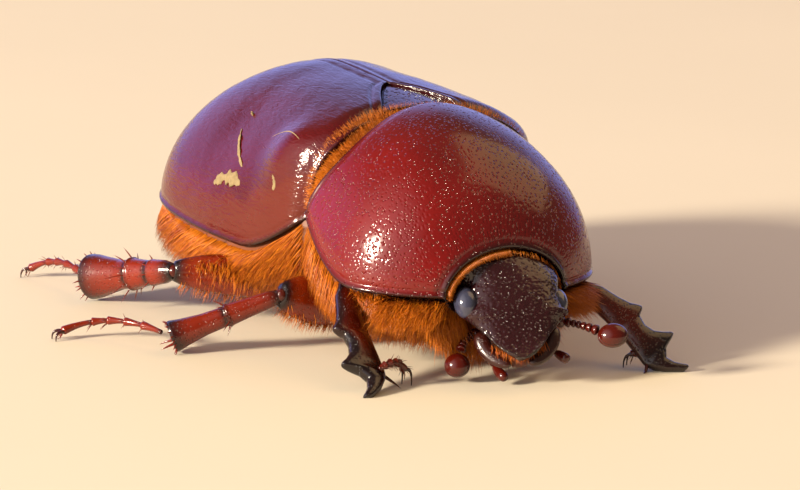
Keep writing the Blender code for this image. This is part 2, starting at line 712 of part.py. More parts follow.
def build_leg(beetle, name, leg, floor):
    """Thigh, shin and clawed foot of one leg; returns the cutters of its hip's and knee's pockets."""
    shin_look = material("leg_cuticle", DARK_BROWN, 0.25)
    bm, place = femur_parts(name, leg)
    femur = beetle.add(f"femur_{name}", bm, material("thigh_cuticle", "4E150C", 0.3), place)
    bm, place = femur_parts(name, leg, GAP)
    hip_pocket = beetle.add_cutter(f"hip_pocket_{name}", bm, place)

    shin_place = segment_matrix(leg["knee"], leg["ankle"], leg["shin"])
    tibia = beetle.add(f"tibia_{name}", plate_loft(tibia_stations(name, leg), 8), shin_look,
                       shin_place)
    roomy = plate_loft(tibia_stations(name, leg, GAP), 8)
    bmesh.ops.translate(roomy, vec=(0, 0, -GAP), verts=roomy.verts)
    knee_pocket = beetle.add_cutter(f"knee_pocket_{name}", roomy, shin_place)
    cut(femur, knee_pocket)
    cut(tibia, floor)

    tarsus = beetle.add(f"tarsus_{name}", tarsus_tube(leg["foot"]), shin_look)
    cut(tarsus, beetle.add_cutter(f"claws_{name}", claws(leg["foot"])), 'UNION')
    cut(tarsus, floor)
    return hip_pocket, knee_pocket


def tarsus_tube(foot):
    """Five short joints in a row, each wider at its end, the last one longest."""
    shares, radii = zip(*FOOT_JOINTS)
    return tube(bezier(*foot, shares), radii, 5)


def claws(foot):
    """A pair of hooked claws that reach down from the foot's end to the floor."""
    _, control, end = (Vector(p) for p in foot)
    ahead = (end - control).normalized()
    across = ahead.cross(Vector((0, 0, 1))).normalized()
    ahead = Vector((ahead.x, ahead.y, 0)).normalized()
    bm = bmesh.new()
    for sign in (-1, 1):
        root = end + across * (0.13 * sign) - ahead * 0.1
        bend = end + across * (0.34 * sign) + ahead * 0.55 + Vector((0, 0, 0.05))
        tip = Vector((bend.x, bend.y, -0.05)) + ahead * 0.02
        part = tube(bezier(root, bend, tip, np.linspace(0, 1, 4)), (0.12, 0.12, 0.10, 0.06), 5)
        mesh = bpy.data.meshes.new("claw")
        part.to_mesh(mesh)
        part.free()
        bm.from_mesh(mesh)
        bpy.data.meshes.remove(mesh)
    return bm


# ---------------------------------------------------------------- assembly

def centre_on_floor(beetle):
    """Move the root so that the animal's box is centred on the origin in X and Y."""
    bpy.context.view_layer.update()
    depsgraph = bpy.context.evaluated_depsgraph_get()
    low, high = Vector((1e9,) * 3), Vector((-1e9,) * 3)
    for obj in beetle.parts.objects:
        if obj.type != 'MESH':
            continue
        evaluated = obj.evaluated_get(depsgraph)
        for vertex in evaluated.data.vertices:
            point = evaluated.matrix_world @ vertex.co
            low = Vector(map(min, low, point))
            high = Vector(map(max, high, point))
    middle = (low + high) / 2
    beetle.root.location = (-middle.x, -middle.y, -low.z)
    bpy.context.view_layer.update()


def build():
    clear_scene()
    beetle = Beetle()
    floor = floor_cutter(beetle)
    pockets = {name: build_leg(beetle, name, leg, floor) for name, leg in LEGS.items()}
    head_pocket = beetle.add_cutter("head_pocket", head_loft(GAP), CAPSULE_ROLL, beetle.head)

    build_head(beetle)
    build_mouthparts(beetle)
    build_mandibles(beetle)
    build_feelers(beetle)
    build_pronotum(beetle)
    fore_pockets = [*pockets["fore_right"], *pockets["fore_left"]]
    mid_pockets = [pockets["mid_right"][0], pockets["mid_left"][0]]
    hind_pockets = [pockets["hind_right"][0], pockets["hind_left"][0]]
    build_prothorax(beetle, [head_pocket] + fore_pockets + mid_pockets)
    build_elytra(beetle)
    build_scutellum(beetle)
    build_thorax(beetle, mid_pockets + hind_pockets)
    build_abdomen(beetle, hind_pockets)
    centre_on_floor(beetle)


build()
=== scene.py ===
"""Looks of a hornless rhinoceros beetle: polished shells, pitted head, spiny legs, golden hair.

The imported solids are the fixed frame. Lengths below are in millimetres in the beetle's own frame:
x to its left from the mid plane, y to its rear, z up from the floor it stands on.
"""
from collections import namedtuple
from math import asin, cos, pi, radians, sin, sqrt

import bpy
import numpy as np
from bpy.props import FloatProperty, FloatVectorProperty, IntProperty, PointerProperty
from bpy.types import NodeSocket, Operator, Panel, PropertyGroup
from mathutils import Matrix, Vector
from mathutils.kdtree import KDTree


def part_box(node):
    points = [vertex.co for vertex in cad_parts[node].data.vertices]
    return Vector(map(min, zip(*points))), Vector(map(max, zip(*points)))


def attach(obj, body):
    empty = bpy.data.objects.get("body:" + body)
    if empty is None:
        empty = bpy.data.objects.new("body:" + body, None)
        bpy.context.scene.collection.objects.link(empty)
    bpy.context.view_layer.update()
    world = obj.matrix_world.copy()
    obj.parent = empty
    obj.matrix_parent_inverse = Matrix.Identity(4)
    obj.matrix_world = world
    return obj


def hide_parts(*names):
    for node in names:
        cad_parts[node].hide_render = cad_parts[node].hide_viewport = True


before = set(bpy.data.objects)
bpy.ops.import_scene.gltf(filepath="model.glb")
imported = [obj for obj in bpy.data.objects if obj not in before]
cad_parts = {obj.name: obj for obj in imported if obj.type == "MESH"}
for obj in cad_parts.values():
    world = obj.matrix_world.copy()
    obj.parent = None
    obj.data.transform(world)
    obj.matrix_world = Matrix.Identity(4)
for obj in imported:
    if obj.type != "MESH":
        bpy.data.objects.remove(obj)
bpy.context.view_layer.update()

bl_info = {
    "name": "Rhinoceros Beetle",
    "version": (1, 0, 0),
    "blender": (4, 5, 0),
    "location": "View3D > Sidebar > Beetle",
    "description": "Shells, head, legs and hair of a life-size rhinoceros beetle",
    "category": "Add Mesh",
}

MM = 0.001
SIDES = (("left", 1), ("right", -1))

# Pronotum: the domed shield behind the head
PRONOTUM_FRONT_Y = -8.1
PRONOTUM_HIND_Y = -0.97
PRONOTUM_HALF_WIDTH = 5.9
PRONOTUM_WIDEST = 0.55
PRONOTUM_FRONT_SHARE = 0.47         # half width at the front edge, as a share of the widest
PRONOTUM_FRONT_TOP = 4.6
PRONOTUM_CROWN = 10.07
PRONOTUM_CROWN_AT = 0.89

ELYTRA_BASE_Y = -0.9
ELYTRA_APEX_Y = 12.9
ELYTRA_HALF_WIDTH = 6.87
ELYTRA_WIDEST = 0.57
ELYTRA_CROWN = 10.3
ELYTRA_CROWN_AT = 0.505
ELYTRA_APEX_Z = 4.2
MARGIN_Z = 3.5
SEAM = 0.03                         # half the gap between the two wing cases
BASE_DROP = 0.36                    # how far the wing cases' front edges round down,
BASE_ROLL = 0.55                    # within this distance of the edge
BASE_LOBE = 1.75                    # how far the wing cases' bases reach forward beside the mid line
HUMP_RISE = 0.42                    # the shoulder bump of each wing case
HUMP_ANGLE = radians(57)
HUMP_SPREAD = 0.26
HUMP_AT = 0.12
HUMP_LENGTH = 0.075
LIP = (0.06, 0.16, 0.32)            # how far the folded edge of a shell reaches inwards

SCUTELLUM_HALF_WIDTH = 1.85
SCUTELLUM_BASE_Y = -0.8
SCUTELLUM_LENGTH = 3.0

BELLY_Z = 1.1
SHELL_ROOM = 0.62                   # depth of the skin under the shells' outer surfaces
COAT_DEPTH = 0.18                   # depth of the skin under the solids' hairy faces
PROSTERNUM_FRONT_Y = -6.9
TRUNK_END_Y = 12.72
TAIL_BULGE = 0.5
STERNITE_ENDS = (3.9, 5.4, 6.9, 8.4, 9.9, 11.2)     # hind edges of the belly's plates

HEAD_ORIGIN = np.array([0.25, -7.95, 4.77])
HEAD_TURN = np.array(Matrix.Rotation(radians(-16), 3, 'Z') @ Matrix.Rotation(radians(54), 3, 'X')
                     @ Matrix.Rotation(radians(-11.5), 3, 'Y'))
CAPSULE_ROLL = np.array(Matrix.Rotation(radians(9), 3, 'Y'))
NECK_INSET = 0.17                   # how far the back of the head lies inside the pronotum's opening
# Down the head: distance from the neck, half width, height of the edge, of the middle, depth
HEAD_SECTIONS = (
    (-0.9, 1.30, -1.30, -0.40, 1.2), (-0.45, 1.70, -0.95, -0.10, 1.6),
    (0.0, 1.93, -0.74, 0.16, 1.9), (0.4, 2.02, -0.60, 0.32, 2.1), (0.9, 1.96, -0.52, 0.44, 2.1),
    (1.5, 1.90, -0.48, 0.48, 1.9), (1.95, 2.02, -0.42, 0.46, 1.1), (2.13, 2.26, -0.38, 0.41, 0.6),
    (2.35, 1.97, -0.28, 0.35, 0.5), (2.6, 1.70, -0.20, 0.29, 0.5), (3.1, 1.26, -0.04, 0.20, 0.5),
    (3.6, 0.90, 0.06, 0.15, 0.5), (4.0, 0.52, 0.20, 0.16, 0.5), (4.2, 0.24, 0.32, 0.28, 0.5),
)
LIP_SECTIONS = ((2.3, 0.70, 0.34), (2.75, 0.85, 0.50), (3.2, 0.66, 0.52), (3.9, 0.40, 0.34),
                (4.1, 0.3, 0.2))    # distance from the neck, half width, half height
EYE_RADII = (0.48, 0.66, 0.52)
EYE_CENTRE = {"left": (1.86, -1.60, -0.66), "right": (-1.98, -1.66, -0.18)}
# Curves in the head's frame: start, control and end
MANDIBLE = ((1.42, -2.60, -0.86), (1.50, -3.70, -0.88), (0.36, -4.16, -0.66))
PALP = {
    "left": ((1.05, -3.05, -1.75), (1.60, -3.50, -1.55), (1.98, -3.95, -1.25)),
    "right": ((-1.05, -3.05, -1.75), (-1.10, -3.90, -1.55), (-0.58, -4.55, -1.22)),
}
ANTENNA = {
    "left": ((1.40, -2.20, -1.25), (2.35, -2.30, -1.25), (3.30, -2.90, -1.00)),
    "right": ((-1.30, -2.45, -1.40), (-2.05, -2.45, -1.30), (-2.30, -3.22, -1.10)),
}
# First point, last point and radius of each joint along a curve
PALP_JOINTS = ((0, 15, 0.12), (14, 27, 0.15), (26, 59, 0.20))
ANTENNA_JOINTS = ((0, 40, 0.24), (38, 54, 0.19), (53, 66, 0.15), (65, 78, 0.15), (77, 90, 0.16),
                  (89, 104, 0.18), (103, 119, 0.21))
CLUB = {                            # centre and radii
    "left": ((3.86, -3.16, -0.98), (0.62, 0.50, 0.45)),
    "right": ((-2.50, -3.84, -1.10), (0.52, 0.50, 0.45)),
}

# `broad` is the direction in which the shin is widest, `foot` the curve of the foot's joints
Leg = namedtuple("Leg", "hip knee ankle broad foot")
UP = (0, 0, 1)
LEGS = {
    "fore_right": Leg((-2.3, -5.0, 1.95), (-5.2, -4.2, 3.25), (-6.35, -9.1, -0.08), (-0.97, 0.07, 0.22),
                      ((-5.75, -8.25, 0.9), (-4.85, -8.2, 1.35), (-4.45, -7.95, 0.7))),
    "fore_left": Leg((2.3, -5.3, 1.95), (4.8, -6.5, 3.0), (7.6, -9.9, -0.08), (0.82, 0.12, 0.55),
                     ((6.75, -9.0, 0.75), (6.4, -8.9, 1.15), (6.1, -8.5, 0.55))),
    "mid_right": Leg((-2.7, -0.9, 1.55), (-6.9, -2.0, 2.5), (-11.0, -0.35, 0.66), UP,
                     ((-11.35, -0.15, 0.85), (-12.2, 3.0, 1.1), (-14.35, 2.95, 0.35))),
    "mid_left": Leg((2.7, -0.9, 1.55), (7.2, 0.6, 2.5), (8.3, 5.1, 0.66), UP,
                    ((8.4, 5.5, 0.85), (8.6, 8.3, 1.1), (9.2, 9.3, 0.35))),
    "hind_right": Leg((-2.7, 2.6, 1.75), (-8.6, 4.3, 2.15), (-10.2, 8.8, 0.97), UP,
                      ((-10.35, 9.2, 0.95), (-10.3, 11.9, 1.35), (-11.15, 13.0, 0.4))),
    "hind_left": Leg((2.7, 2.6, 1.75), (7.3, 6.0, 2.15), (7.9, 10.3, 0.97), UP,
                     ((8.0, 10.7, 0.95), (8.1, 12.9, 1.3), (8.9, 13.6, 0.4))),
}
# Per pair: the thigh's breadth, thickness and broad direction, the shin's knee and apex radius
Pair = namedtuple("Pair", "breadth thickness broad knee apex")
PAIRS = {
    "fore": Pair(1.7, 1.3, (0, -1, 0), None, None),
    "mid": Pair(2.1, 1.35, UP, 0.24, 0.66),
    "hind": Pair(1.85, 1.35, UP, 0.33, 0.97),
}
FEMUR_SWELL = ((0.0, 0.55), (0.12, 0.80), (0.35, 1.0), (0.6, 0.98), (0.82, 0.80), (0.95, 0.60), (1.0, 0.45))
# The digging shin: share of its length, inner x, outer x, half thickness
FORE_TIBIA = (
    (0.00, -0.28, 0.30, 0.26), (0.10, -0.40, 0.56, 0.32), (0.24, -0.45, 0.70, 0.34),
    (0.34, -0.48, 0.86, 0.34), (0.39, -0.49, 1.04, 0.32), (0.42, -0.50, 1.12, 0.31),
    (0.44, -0.51, 1.02, 0.32), (0.46, -0.52, 0.72, 0.34), (0.54, -0.57, 0.56, 0.36),
    (0.62, -0.65, 0.64, 0.36), (0.68, -0.72, 0.90, 0.34), (0.715, -0.76, 1.12, 0.31),
    (0.74, -0.78, 1.17, 0.30), (0.755, -0.78, 0.98, 0.31), (0.775, -0.76, 0.46, 0.32),
    (0.83, -0.64, 0.12, 0.30), (0.90, -0.40, 0.20, 0.28), (0.95, -0.12, 0.38, 0.25),
    (0.985, 0.08, 0.52, 0.21), (1.00, 0.24, 0.50, 0.14),
)
# The walking shins: share of the length, and how far the radius is from the knee's to the apex's
TRUMPETS = {
    "mid": ((0.0, 0.0), (0.10, 0.25), (0.30, 0.36), (0.46, 0.50), (0.485, 0.62), (0.505, 0.40),
            (0.70, 0.50), (0.88, 0.78), (0.975, 1.0), (1.0, 0.90)),
    "hind": ((0.0, 0.0), (0.10, 0.25), (0.22, 0.34), (0.245, 0.38), (0.26, 0.27), (0.46, 0.50),
             (0.485, 0.62), (0.505, 0.42), (0.62, 0.46), (0.80, 0.74), (0.90, 0.92), (0.975, 1.0),
             (1.0, 0.90)),
}
# Each collar of spines on them: share of the length, radius as above, number and size of the spines
COLLARS = {"mid": ((0.49, 0.58, 9, 0.45),), "hind": ((0.25, 0.36, 7, 0.50), (0.49, 0.58, 11, 0.80))}
FOOT_JOINTS = ((0, 19), (18, 36), (35, 53), (52, 69), (68, 100))

# Dried soil on the right wing case: start, control and end as (angle, length share), half width
SOIL_MARKS = (
    ((1.27, 0.43), (1.17, 0.37), (1.26, 0.29), 0.26),
    ((0.88, 0.43), (1.03, 0.38), (1.14, 0.31), 0.11),
    ((0.75, 0.44), (0.76, 0.44), (0.77, 0.43), 0.11),
    ((1.22, 0.13), (1.29, 0.11), (1.33, 0.12), 0.07),
)
FIBRE = ((0.90, 0.24), (0.80, 0.15), (0.93, 0.08), 0.025)

# Where the coat's two halves begin and end along the trunk
COAT_PARTS = {"chest": (PROSTERNUM_FRONT_Y + 0.1, 2.2), "belly": (2.2, 12.6)}
# A thigh's fringe: number of hairs, angle round the thigh, length of the hairs
THIGH_FRINGES = {"fore": (700, 0.0, 0.9), "mid": (260, pi, 0.5), "hind": (260, pi, 0.5)}
SHELL_FRINGE_COUNT = 6000
NECK_FRINGE_COUNT = 2600            # before its left side is thinned
LIP_HAIR_COUNT = 260
# One hair: its rings and its tip as shares of its length, and the triangles at its tip and root
HAIR_SHARES = np.array([0.0, 0.4, 0.75, 1.0])[:, None]
HAIR_ENDS = np.array([[6, 7, 9], [7, 8, 9], [8, 6, 9], [2, 1, 0]])
PATCH = 0.003                       # side of a hair's patch on the unwrap of what it grows from

CAMERA_AZIMUTH = radians(-30.51)
CAMERA_RISE = radians(13.12)
CAMERA_ROLL = radians(3.089)
CAMERA_DISTANCE = 165.954
CAMERA_LENS = 180.0                 # on a 36 mm wide sensor
CAMERA_TARGET = np.array([-0.965, -1.229, 4.0])
KEY_DIRECTION = (-0.93, -0.10, 0.30)
# Each light: direction from the beetle, distance and side in metres, power in watts, colour
LIGHTS = {
    "key_light": (KEY_DIRECTION, 0.7, 0.09, 13.0, "FFF0D8"),
    "warm_card": ((0.64, -0.06, 0.77), 0.5, 0.42, 1.1, "E8BE8A"),
}
COOL_DIRECTION = (0.26, 0.93, 0.26)
SURROUND_WARM = (0.15, 0.13, 0.10)
SURROUND_COOL = (0.62, 0.68, 1.55)
SURROUND_GLOW = (1.25, 1.15, 1.15)
FLOOR_HALF = 3.0                    # in metres


def body_origin():
    """Where the body's own origin lies in the frame: on the floor, under the wing cases' seam."""
    left_low, left_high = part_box("elytron_left")
    _, right_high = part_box("elytron_right")
    return np.array([(left_low[0] + right_high[0]) / 2 / MM, left_high[1] / MM - ELYTRA_APEX_Y, 0.0])


ORIGIN = body_origin()


def linear(hex_colour):
    """Linear RGB of an sRGB hex colour."""
    channels = [int(hex_colour[i:i + 2], 16) / 255 for i in (0, 2, 4)]
    return tuple(c / 12.92 if c <= 0.04045 else ((c + 0.055) / 1.055) ** 2.4 for c in channels)


# ---------------------------------------------------------------- properties

def colour(name, description, hex_colour):
    return FloatVectorProperty(name=name, description=description, default=linear(hex_colour),
                               size=3, min=0.0, max=1.0, subtype='COLOR')


def length(name, description, millimetres):
    return FloatProperty(name=name, description=description, default=millimetres * MM,
                         min=0.0, precision=6, unit='LENGTH')


class BeetleSizes(PropertyGroup):
    """Sizes of the fine relief and of the hair"""
    pit_radius: length("Pit radius", "Radius of the pronotum's fine pits", 0.05)
    head_pit_radius: length("Head pit radius", "Radius of the head's coarse pits", 0.075)
    coat_length: length("Coat length", "Length of the hairs on the sides and belly", 1.45)
    fringe_length: length("Fringe length", "Length of the hairs between the shells", 0.62)
    hair_radius: length("Hair radius", "Radius of a hair at its root", 0.020)
    coat_count: IntProperty(name="Coat count", description="Hairs in each quarter of the body's coat",
                            default=9000, min=0)


class BeetleColours(PropertyGroup):
    """Colours of the shells, limbs and hair"""
    pronotum: colour("Pronotum", "Shield behind the head", "74100F")
    # Painted glow: this brighter orange stands in for warm floor light on the wing cases' lower sides.
    painted_side_glow: colour("Wing case side", "Thinner, paler chitin along the wing cases' sides", "581405")
    wing_case: colour("Wing cases", "Both wing cases", "560C10")
    # Also the colour of the painted shade over the tops of the pronotum and wing cases.
    edge: colour("Edges", "Darkened rims and joints", "120608")
    head: colour("Head", "Head capsule", "300F14")
    thigh: colour("Thighs", "Femora", "932A06")
    shin: colour("Shins and feet", "Tibiae and tarsi", "8A240A")
    feeler: colour("Feelers", "Antennae and palps", "4C0E06")
    jaw: colour("Jaws", "Mandibles", "34100A")
    skin: colour("Skin", "Soft underside below the hair", "7A3A0C")
    hair: colour("Hair", "Golden hair", "D0760E")
    hair_dark: colour("Dark hair", "Reddish hair mixed into the gold", "923C03")
    soil: colour("Dried soil", "Flakes on the right wing case", "A08A62")
    floor: colour("Floor", "Plain pale floor", "E4D8C0")


# ---------------------------------------------------------------- shape helpers

def clamp(value):
    return np.clip(value, 0, 1)


def bell(value, width):
    """1 at 0, falling smoothly to nothing beyond `width`."""
    return np.exp(-(value / width) ** 2)


def bead(distance, at, width, height):
    """A rounded ridge, or a groove when `height` is negative, `at` a distance from an edge."""
    return height * bell(distance - at, width)


def signed_power(value, power):
    return np.sign(value) * np.abs(value) ** power


def norms(vectors):
    return np.linalg.norm(vectors, axis=-1)


def unit(vectors):
    vectors = np.asarray(vectors, dtype=float)
    return vectors / np.maximum(norms(vectors)[..., None], 1e-9)


def circle(count):
    """Angles spaced evenly round a full turn."""
    return np.linspace(0, 2 * pi, count, endpoint=False)


def joined(*coordinates):
    """Points, or vectors, from coordinates that broadcast together."""
    return np.stack(np.broadcast_arrays(*coordinates), axis=-1)


def table_rows(table, count, softness=1):
    """Rows of a table between its first column's limits, evenly spaced and slightly rounded."""
    table = np.array(table)
    keys = np.linspace(table[0, 0], table[-1, 0], count)
    rows = np.stack([np.interp(keys, table[:, 0], column) for column in table.T], axis=-1)
    for _ in range(softness):
        rows[1:-1] = (rows[:-2] + 2 * rows[1:-1] + rows[2:]) / 4
    return rows


def bezier(start, control, end, count):
    share = np.linspace(0, 1, count)[:, None]
    start, control, end = (np.array(point) for point in (start, control, end))
    return start * (1 - share) ** 2 + 2 * control * share * (1 - share) + end * share ** 2


def tube_rings(path, radii, sides, flatten=1.0, broad=None):
    """Rings round a path; `broad` is the direction in which a flattened tube is widest."""
    ahead = unit(np.gradient(path, axis=0))
    aside = np.array(broad or Vector(ahead[0]).orthogonal())
    angles = circle(sides)[:, None]
    rings = []
    for point, direction, radius in zip(path, ahead, radii):
        aside = unit(aside - direction * (aside @ direction))
        other = np.cross(direction, aside)
        rings.append(point + radius * (np.cos(angles) * aside + flatten * np.sin(angles) * other))
    return np.array(rings)


def ellipsoid_rings(centre, radii, sides=28, rows=18):
    polar = np.linspace(0.06, pi - 0.06, rows)[:, None]
    angles = circle(sides)
    ball = joined(np.sin(polar) * np.cos(angles), np.sin(polar) * np.sin(angles), -np.cos(polar))
    return np.array(centre) + ball * np.array(radii)


def grid_normals(grid):
    return unit(np.cross(np.gradient(grid, axis=1), np.gradient(grid, axis=0)))


def edge_distances(grid):
    """Distance of each grid point along the surface from its first and last column and row."""
    across = np.pad(np.cumsum(norms(np.diff(grid, axis=1)), axis=1), ((0, 0), (1, 0)))
    along = np.pad(np.cumsum(norms(np.diff(grid, axis=0)), axis=0), ((1, 0), (0, 0)))
    return across, across[:, -1:] - across, along, along[-1:] - along


def swell(points, wavelength, seed):
    """Smooth random height between about -1 and 1."""
    rng = np.random.default_rng(seed)
    waves = unit(rng.normal(size=(7, 3)))
    phases = rng.uniform(0, 2 * pi, 7)
    return np.sin(points @ waves.T * (2 * pi / wavelength) + phases).mean(axis=-1) * 1.6


def pits(points, spacing, radius, depth, seed, keep=1.0):
    """Depth of round pits scattered over a grid of points, about one in each `spacing` square."""
    rng = np.random.default_rng(seed)
    flat = points.reshape(-1, 3)
    across, along = (norms(np.gradient(points, axis=axis)) for axis in (1, 0))
    chance = (across * along * keep).ravel()
    wanted = int(chance.sum() / spacing ** 2)
    centres = flat[rng.choice(len(flat), wanted, replace=False, p=chance / chance.sum())]
    sizes = radius * rng.uniform(0.7, 1.15, wanted)
    tree = KDTree(wanted)
    for index, centre in enumerate(centres):
        tree.insert(centre, index)
    tree.balance()
    relief = np.zeros(len(flat))
    for index, point in enumerate(flat):
        _, nearest, distance = tree.find(point)
        relief[index] = max(0.0, 1 - (distance / sizes[nearest]) ** 2)
    return -depth * relief.reshape(points.shape[:2])


def folded(grid, normals, **values):
    """Continue a shell's grid round its edges and inwards, so that it shows its thickness."""
    count = len(LIP)
    for axis in (0, 1):
        first, last = (np.take(grid, [end], axis) for end in (0, -1))
        first_out, last_out = (np.take(normals, [end], axis) for end in (0, -1))
        inner = [first - first_out * depth for depth in reversed(LIP)]
        outer = [last - last_out * depth for depth in LIP]
        grid = np.concatenate(inner + [grid] + outer, axis=axis)
        pad = [(count, count) if a == axis else (0, 0) for a in range(3)]
        normals = np.pad(normals, pad, mode="edge")
        values = {key: np.pad(value, pad[:2], mode="edge") for key, value in values.items()}
    return grid, values


def grid_quads(rows, columns, closed=False):
    """Corners of the quads between neighbouring rows of a grid of points."""
    row, column = np.meshgrid(np.arange(rows - 1), np.arange(columns - (not closed)), indexing="ij")
    first, second = row * columns + column, row * columns + (column + 1) % columns
    return np.stack([first, second, second + columns, first + columns], axis=-1).reshape(-1, 4)


class Piece:
    """Collects surfaces in mm and turns them into one object that rides on the frame."""

    def __init__(self):
        self.points, self.quads, self.triangles, self.values = [], [], [], {}
        self.count = 0

    def add(self, points, quads, triangles=(), **values):
        """Add a surface; each keyword gives a number, or a row of numbers, for every point."""
        self.points.append(np.reshape(points, (-1, 3)))
        self.quads.append(np.reshape(quads, (-1, 4)) + self.count)
        self.triangles.append(np.reshape(triangles, (-1, 3)).astype(int) + self.count)
        for key, value in values.items():
            self.values.setdefault(key, []).append(value)
        self.count += len(self.points[-1])
        return self

    def sheet(self, grid, **values):
        values = {key: value.ravel() for key, value in values.items()}
        return self.add(grid, grid_quads(*grid.shape[:2]), **values)

    def loft(self, rings, bulge=0.0, **values):
        """Add a closed surface through rings, its two ends closed by fans."""
        rings = np.asarray(rings)
        rows, columns, _ = rings.shape
        around = np.arange(columns)
        beside = (around + 1) % columns
        fans, tips = [], []
        for row, inner, first, second in ((0, 1, beside, around), (rows - 1, rows - 2, around, beside)):
            centre = rings[row].mean(axis=0)
            fans.append(joined(row * columns + first, row * columns + second, rows * columns + len(tips)))
            tips.append(centre + bulge * unit(centre - rings[inner].mean(axis=0)))
        for key, value in values.items():
            flat = np.broadcast_to(value, (rows, columns)).ravel()
            values[key] = np.append(flat, [flat[0], flat[-1]])
        points = np.concatenate([rings.reshape(-1, 3), tips])
        return self.add(points, grid_quads(rows, columns, closed=True), fans, **values)

    def build(self, name, look, slot, *nodes):
        """Make the object, in the frame's own place, standing for the named solids."""
        points = (np.concatenate(self.points) + ORIGIN) * MM
        quads, triangles = np.concatenate(self.quads), np.concatenate(self.triangles)
        corners = np.concatenate([quads.ravel(), triangles.ravel()]).astype(np.int32)
        starts = np.concatenate([np.arange(len(quads)) * 4, quads.size + np.arange(len(triangles)) * 3])
        mesh = bpy.data.meshes.new(name)
        mesh.vertices.add(len(points))
        mesh.vertices.foreach_set("co", points.ravel())
        mesh.loops.add(len(corners))
        mesh.loops.foreach_set("vertex_index", corners)
        mesh.polygons.add(len(starts))
        mesh.polygons.foreach_set("loop_start", starts.astype(np.int32))
        mesh.update(calc_edges=True)
        mesh.validate()
        mesh.shade_smooth()
        for key, chunks in self.values.items():
            full = np.concatenate(chunks).astype(np.float32)
            if key == "patch":
                mesh.uv_layers.new(name="OFBake").uv.foreach_set("vector", full[corners].ravel())
            else:
                mesh.attributes.new(key, 'FLOAT', 'POINT').data.foreach_set("value", full)
        mesh.materials.append(look)
        obj = bpy.data.objects.new(name, mesh)
        bpy.context.scene.collection.objects.link(obj)
        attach(obj, "root")
        if nodes:
            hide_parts(*nodes)


def head_place(points):
    """From the head's frame (x left, y back, z out of its crown) to the beetle's."""
    return np.asarray(points) @ HEAD_TURN.T + HEAD_ORIGIN


def capsule_place(points):
    """The capsule is rolled a little further to its left than the mouthparts under it."""
    return head_place(np.asarray(points) @ CAPSULE_ROLL.T)


# ---------------------------------------------------------------- materials

def set_inputs(node, inputs):
    """Give inputs of a node a value or link them to another node's output."""
    for key, value in inputs.items():
        if isinstance(value, NodeSocket):
            node.id_data.links.new(value, node.inputs[key])
        else:
            node.inputs[key].default_value = value


def add_node(tree, kind, inputs, output=0, **settings):
    """Add a node with its settings and inputs, and return one of its outputs."""
    node = tree.nodes.new('ShaderNode' + kind)
    for key, value in settings.items():
        setattr(node, key, value)
    set_inputs(node, inputs)
    return node.outputs[output]


def blend(tree, factor, first, second):
    """Colour between two colours or outputs."""
    first, second = (c if isinstance(c, NodeSocket) else (*c, 1.0) for c in (first, second))
    return add_node(tree, 'Mix', {0: factor, 6: first, 7: second}, 2, data_type='RGBA')


def attribute(tree, name):
    return add_node(tree, 'Attribute', {}, "Fac", attribute_name=name)


def texture(tree, kind, stretch=(1, 1, 1), **inputs):
    """A texture in millimetres of the object's own space, stretched along each axis."""
    place = add_node(tree, 'TexCoord', {}, "Object")
    space = add_node(tree, 'Mapping', {"Vector": place, "Scale": [s / MM for s in stretch]})
    return add_node(tree, 'Tex' + kind, {"Vector": space, **inputs})


def ramp(tree, value, start, full, high=1.0, low=0.0, **settings):
    """Turn a value between `start` and `full` into one between `low` and `high`."""
    return add_node(tree, 'MapRange', {"Value": value, "From Min": start, "From Max": full,
                                       "To Min": low, "To Max": high}, **settings)


def bump(tree, height, depth, strength=1.0):
    return add_node(tree, 'Bump', {"Strength": strength, "Distance": depth * MM, "Height": height})


def shaded(rgb, share):
    return tuple(channel * share for channel in rgb)


def new_look(name):
    """A new material, its node tree and its shader."""
    look = bpy.data.materials.new(name)
    look.use_nodes = True
    return look, look.node_tree, look.node_tree.nodes["Principled BSDF"]


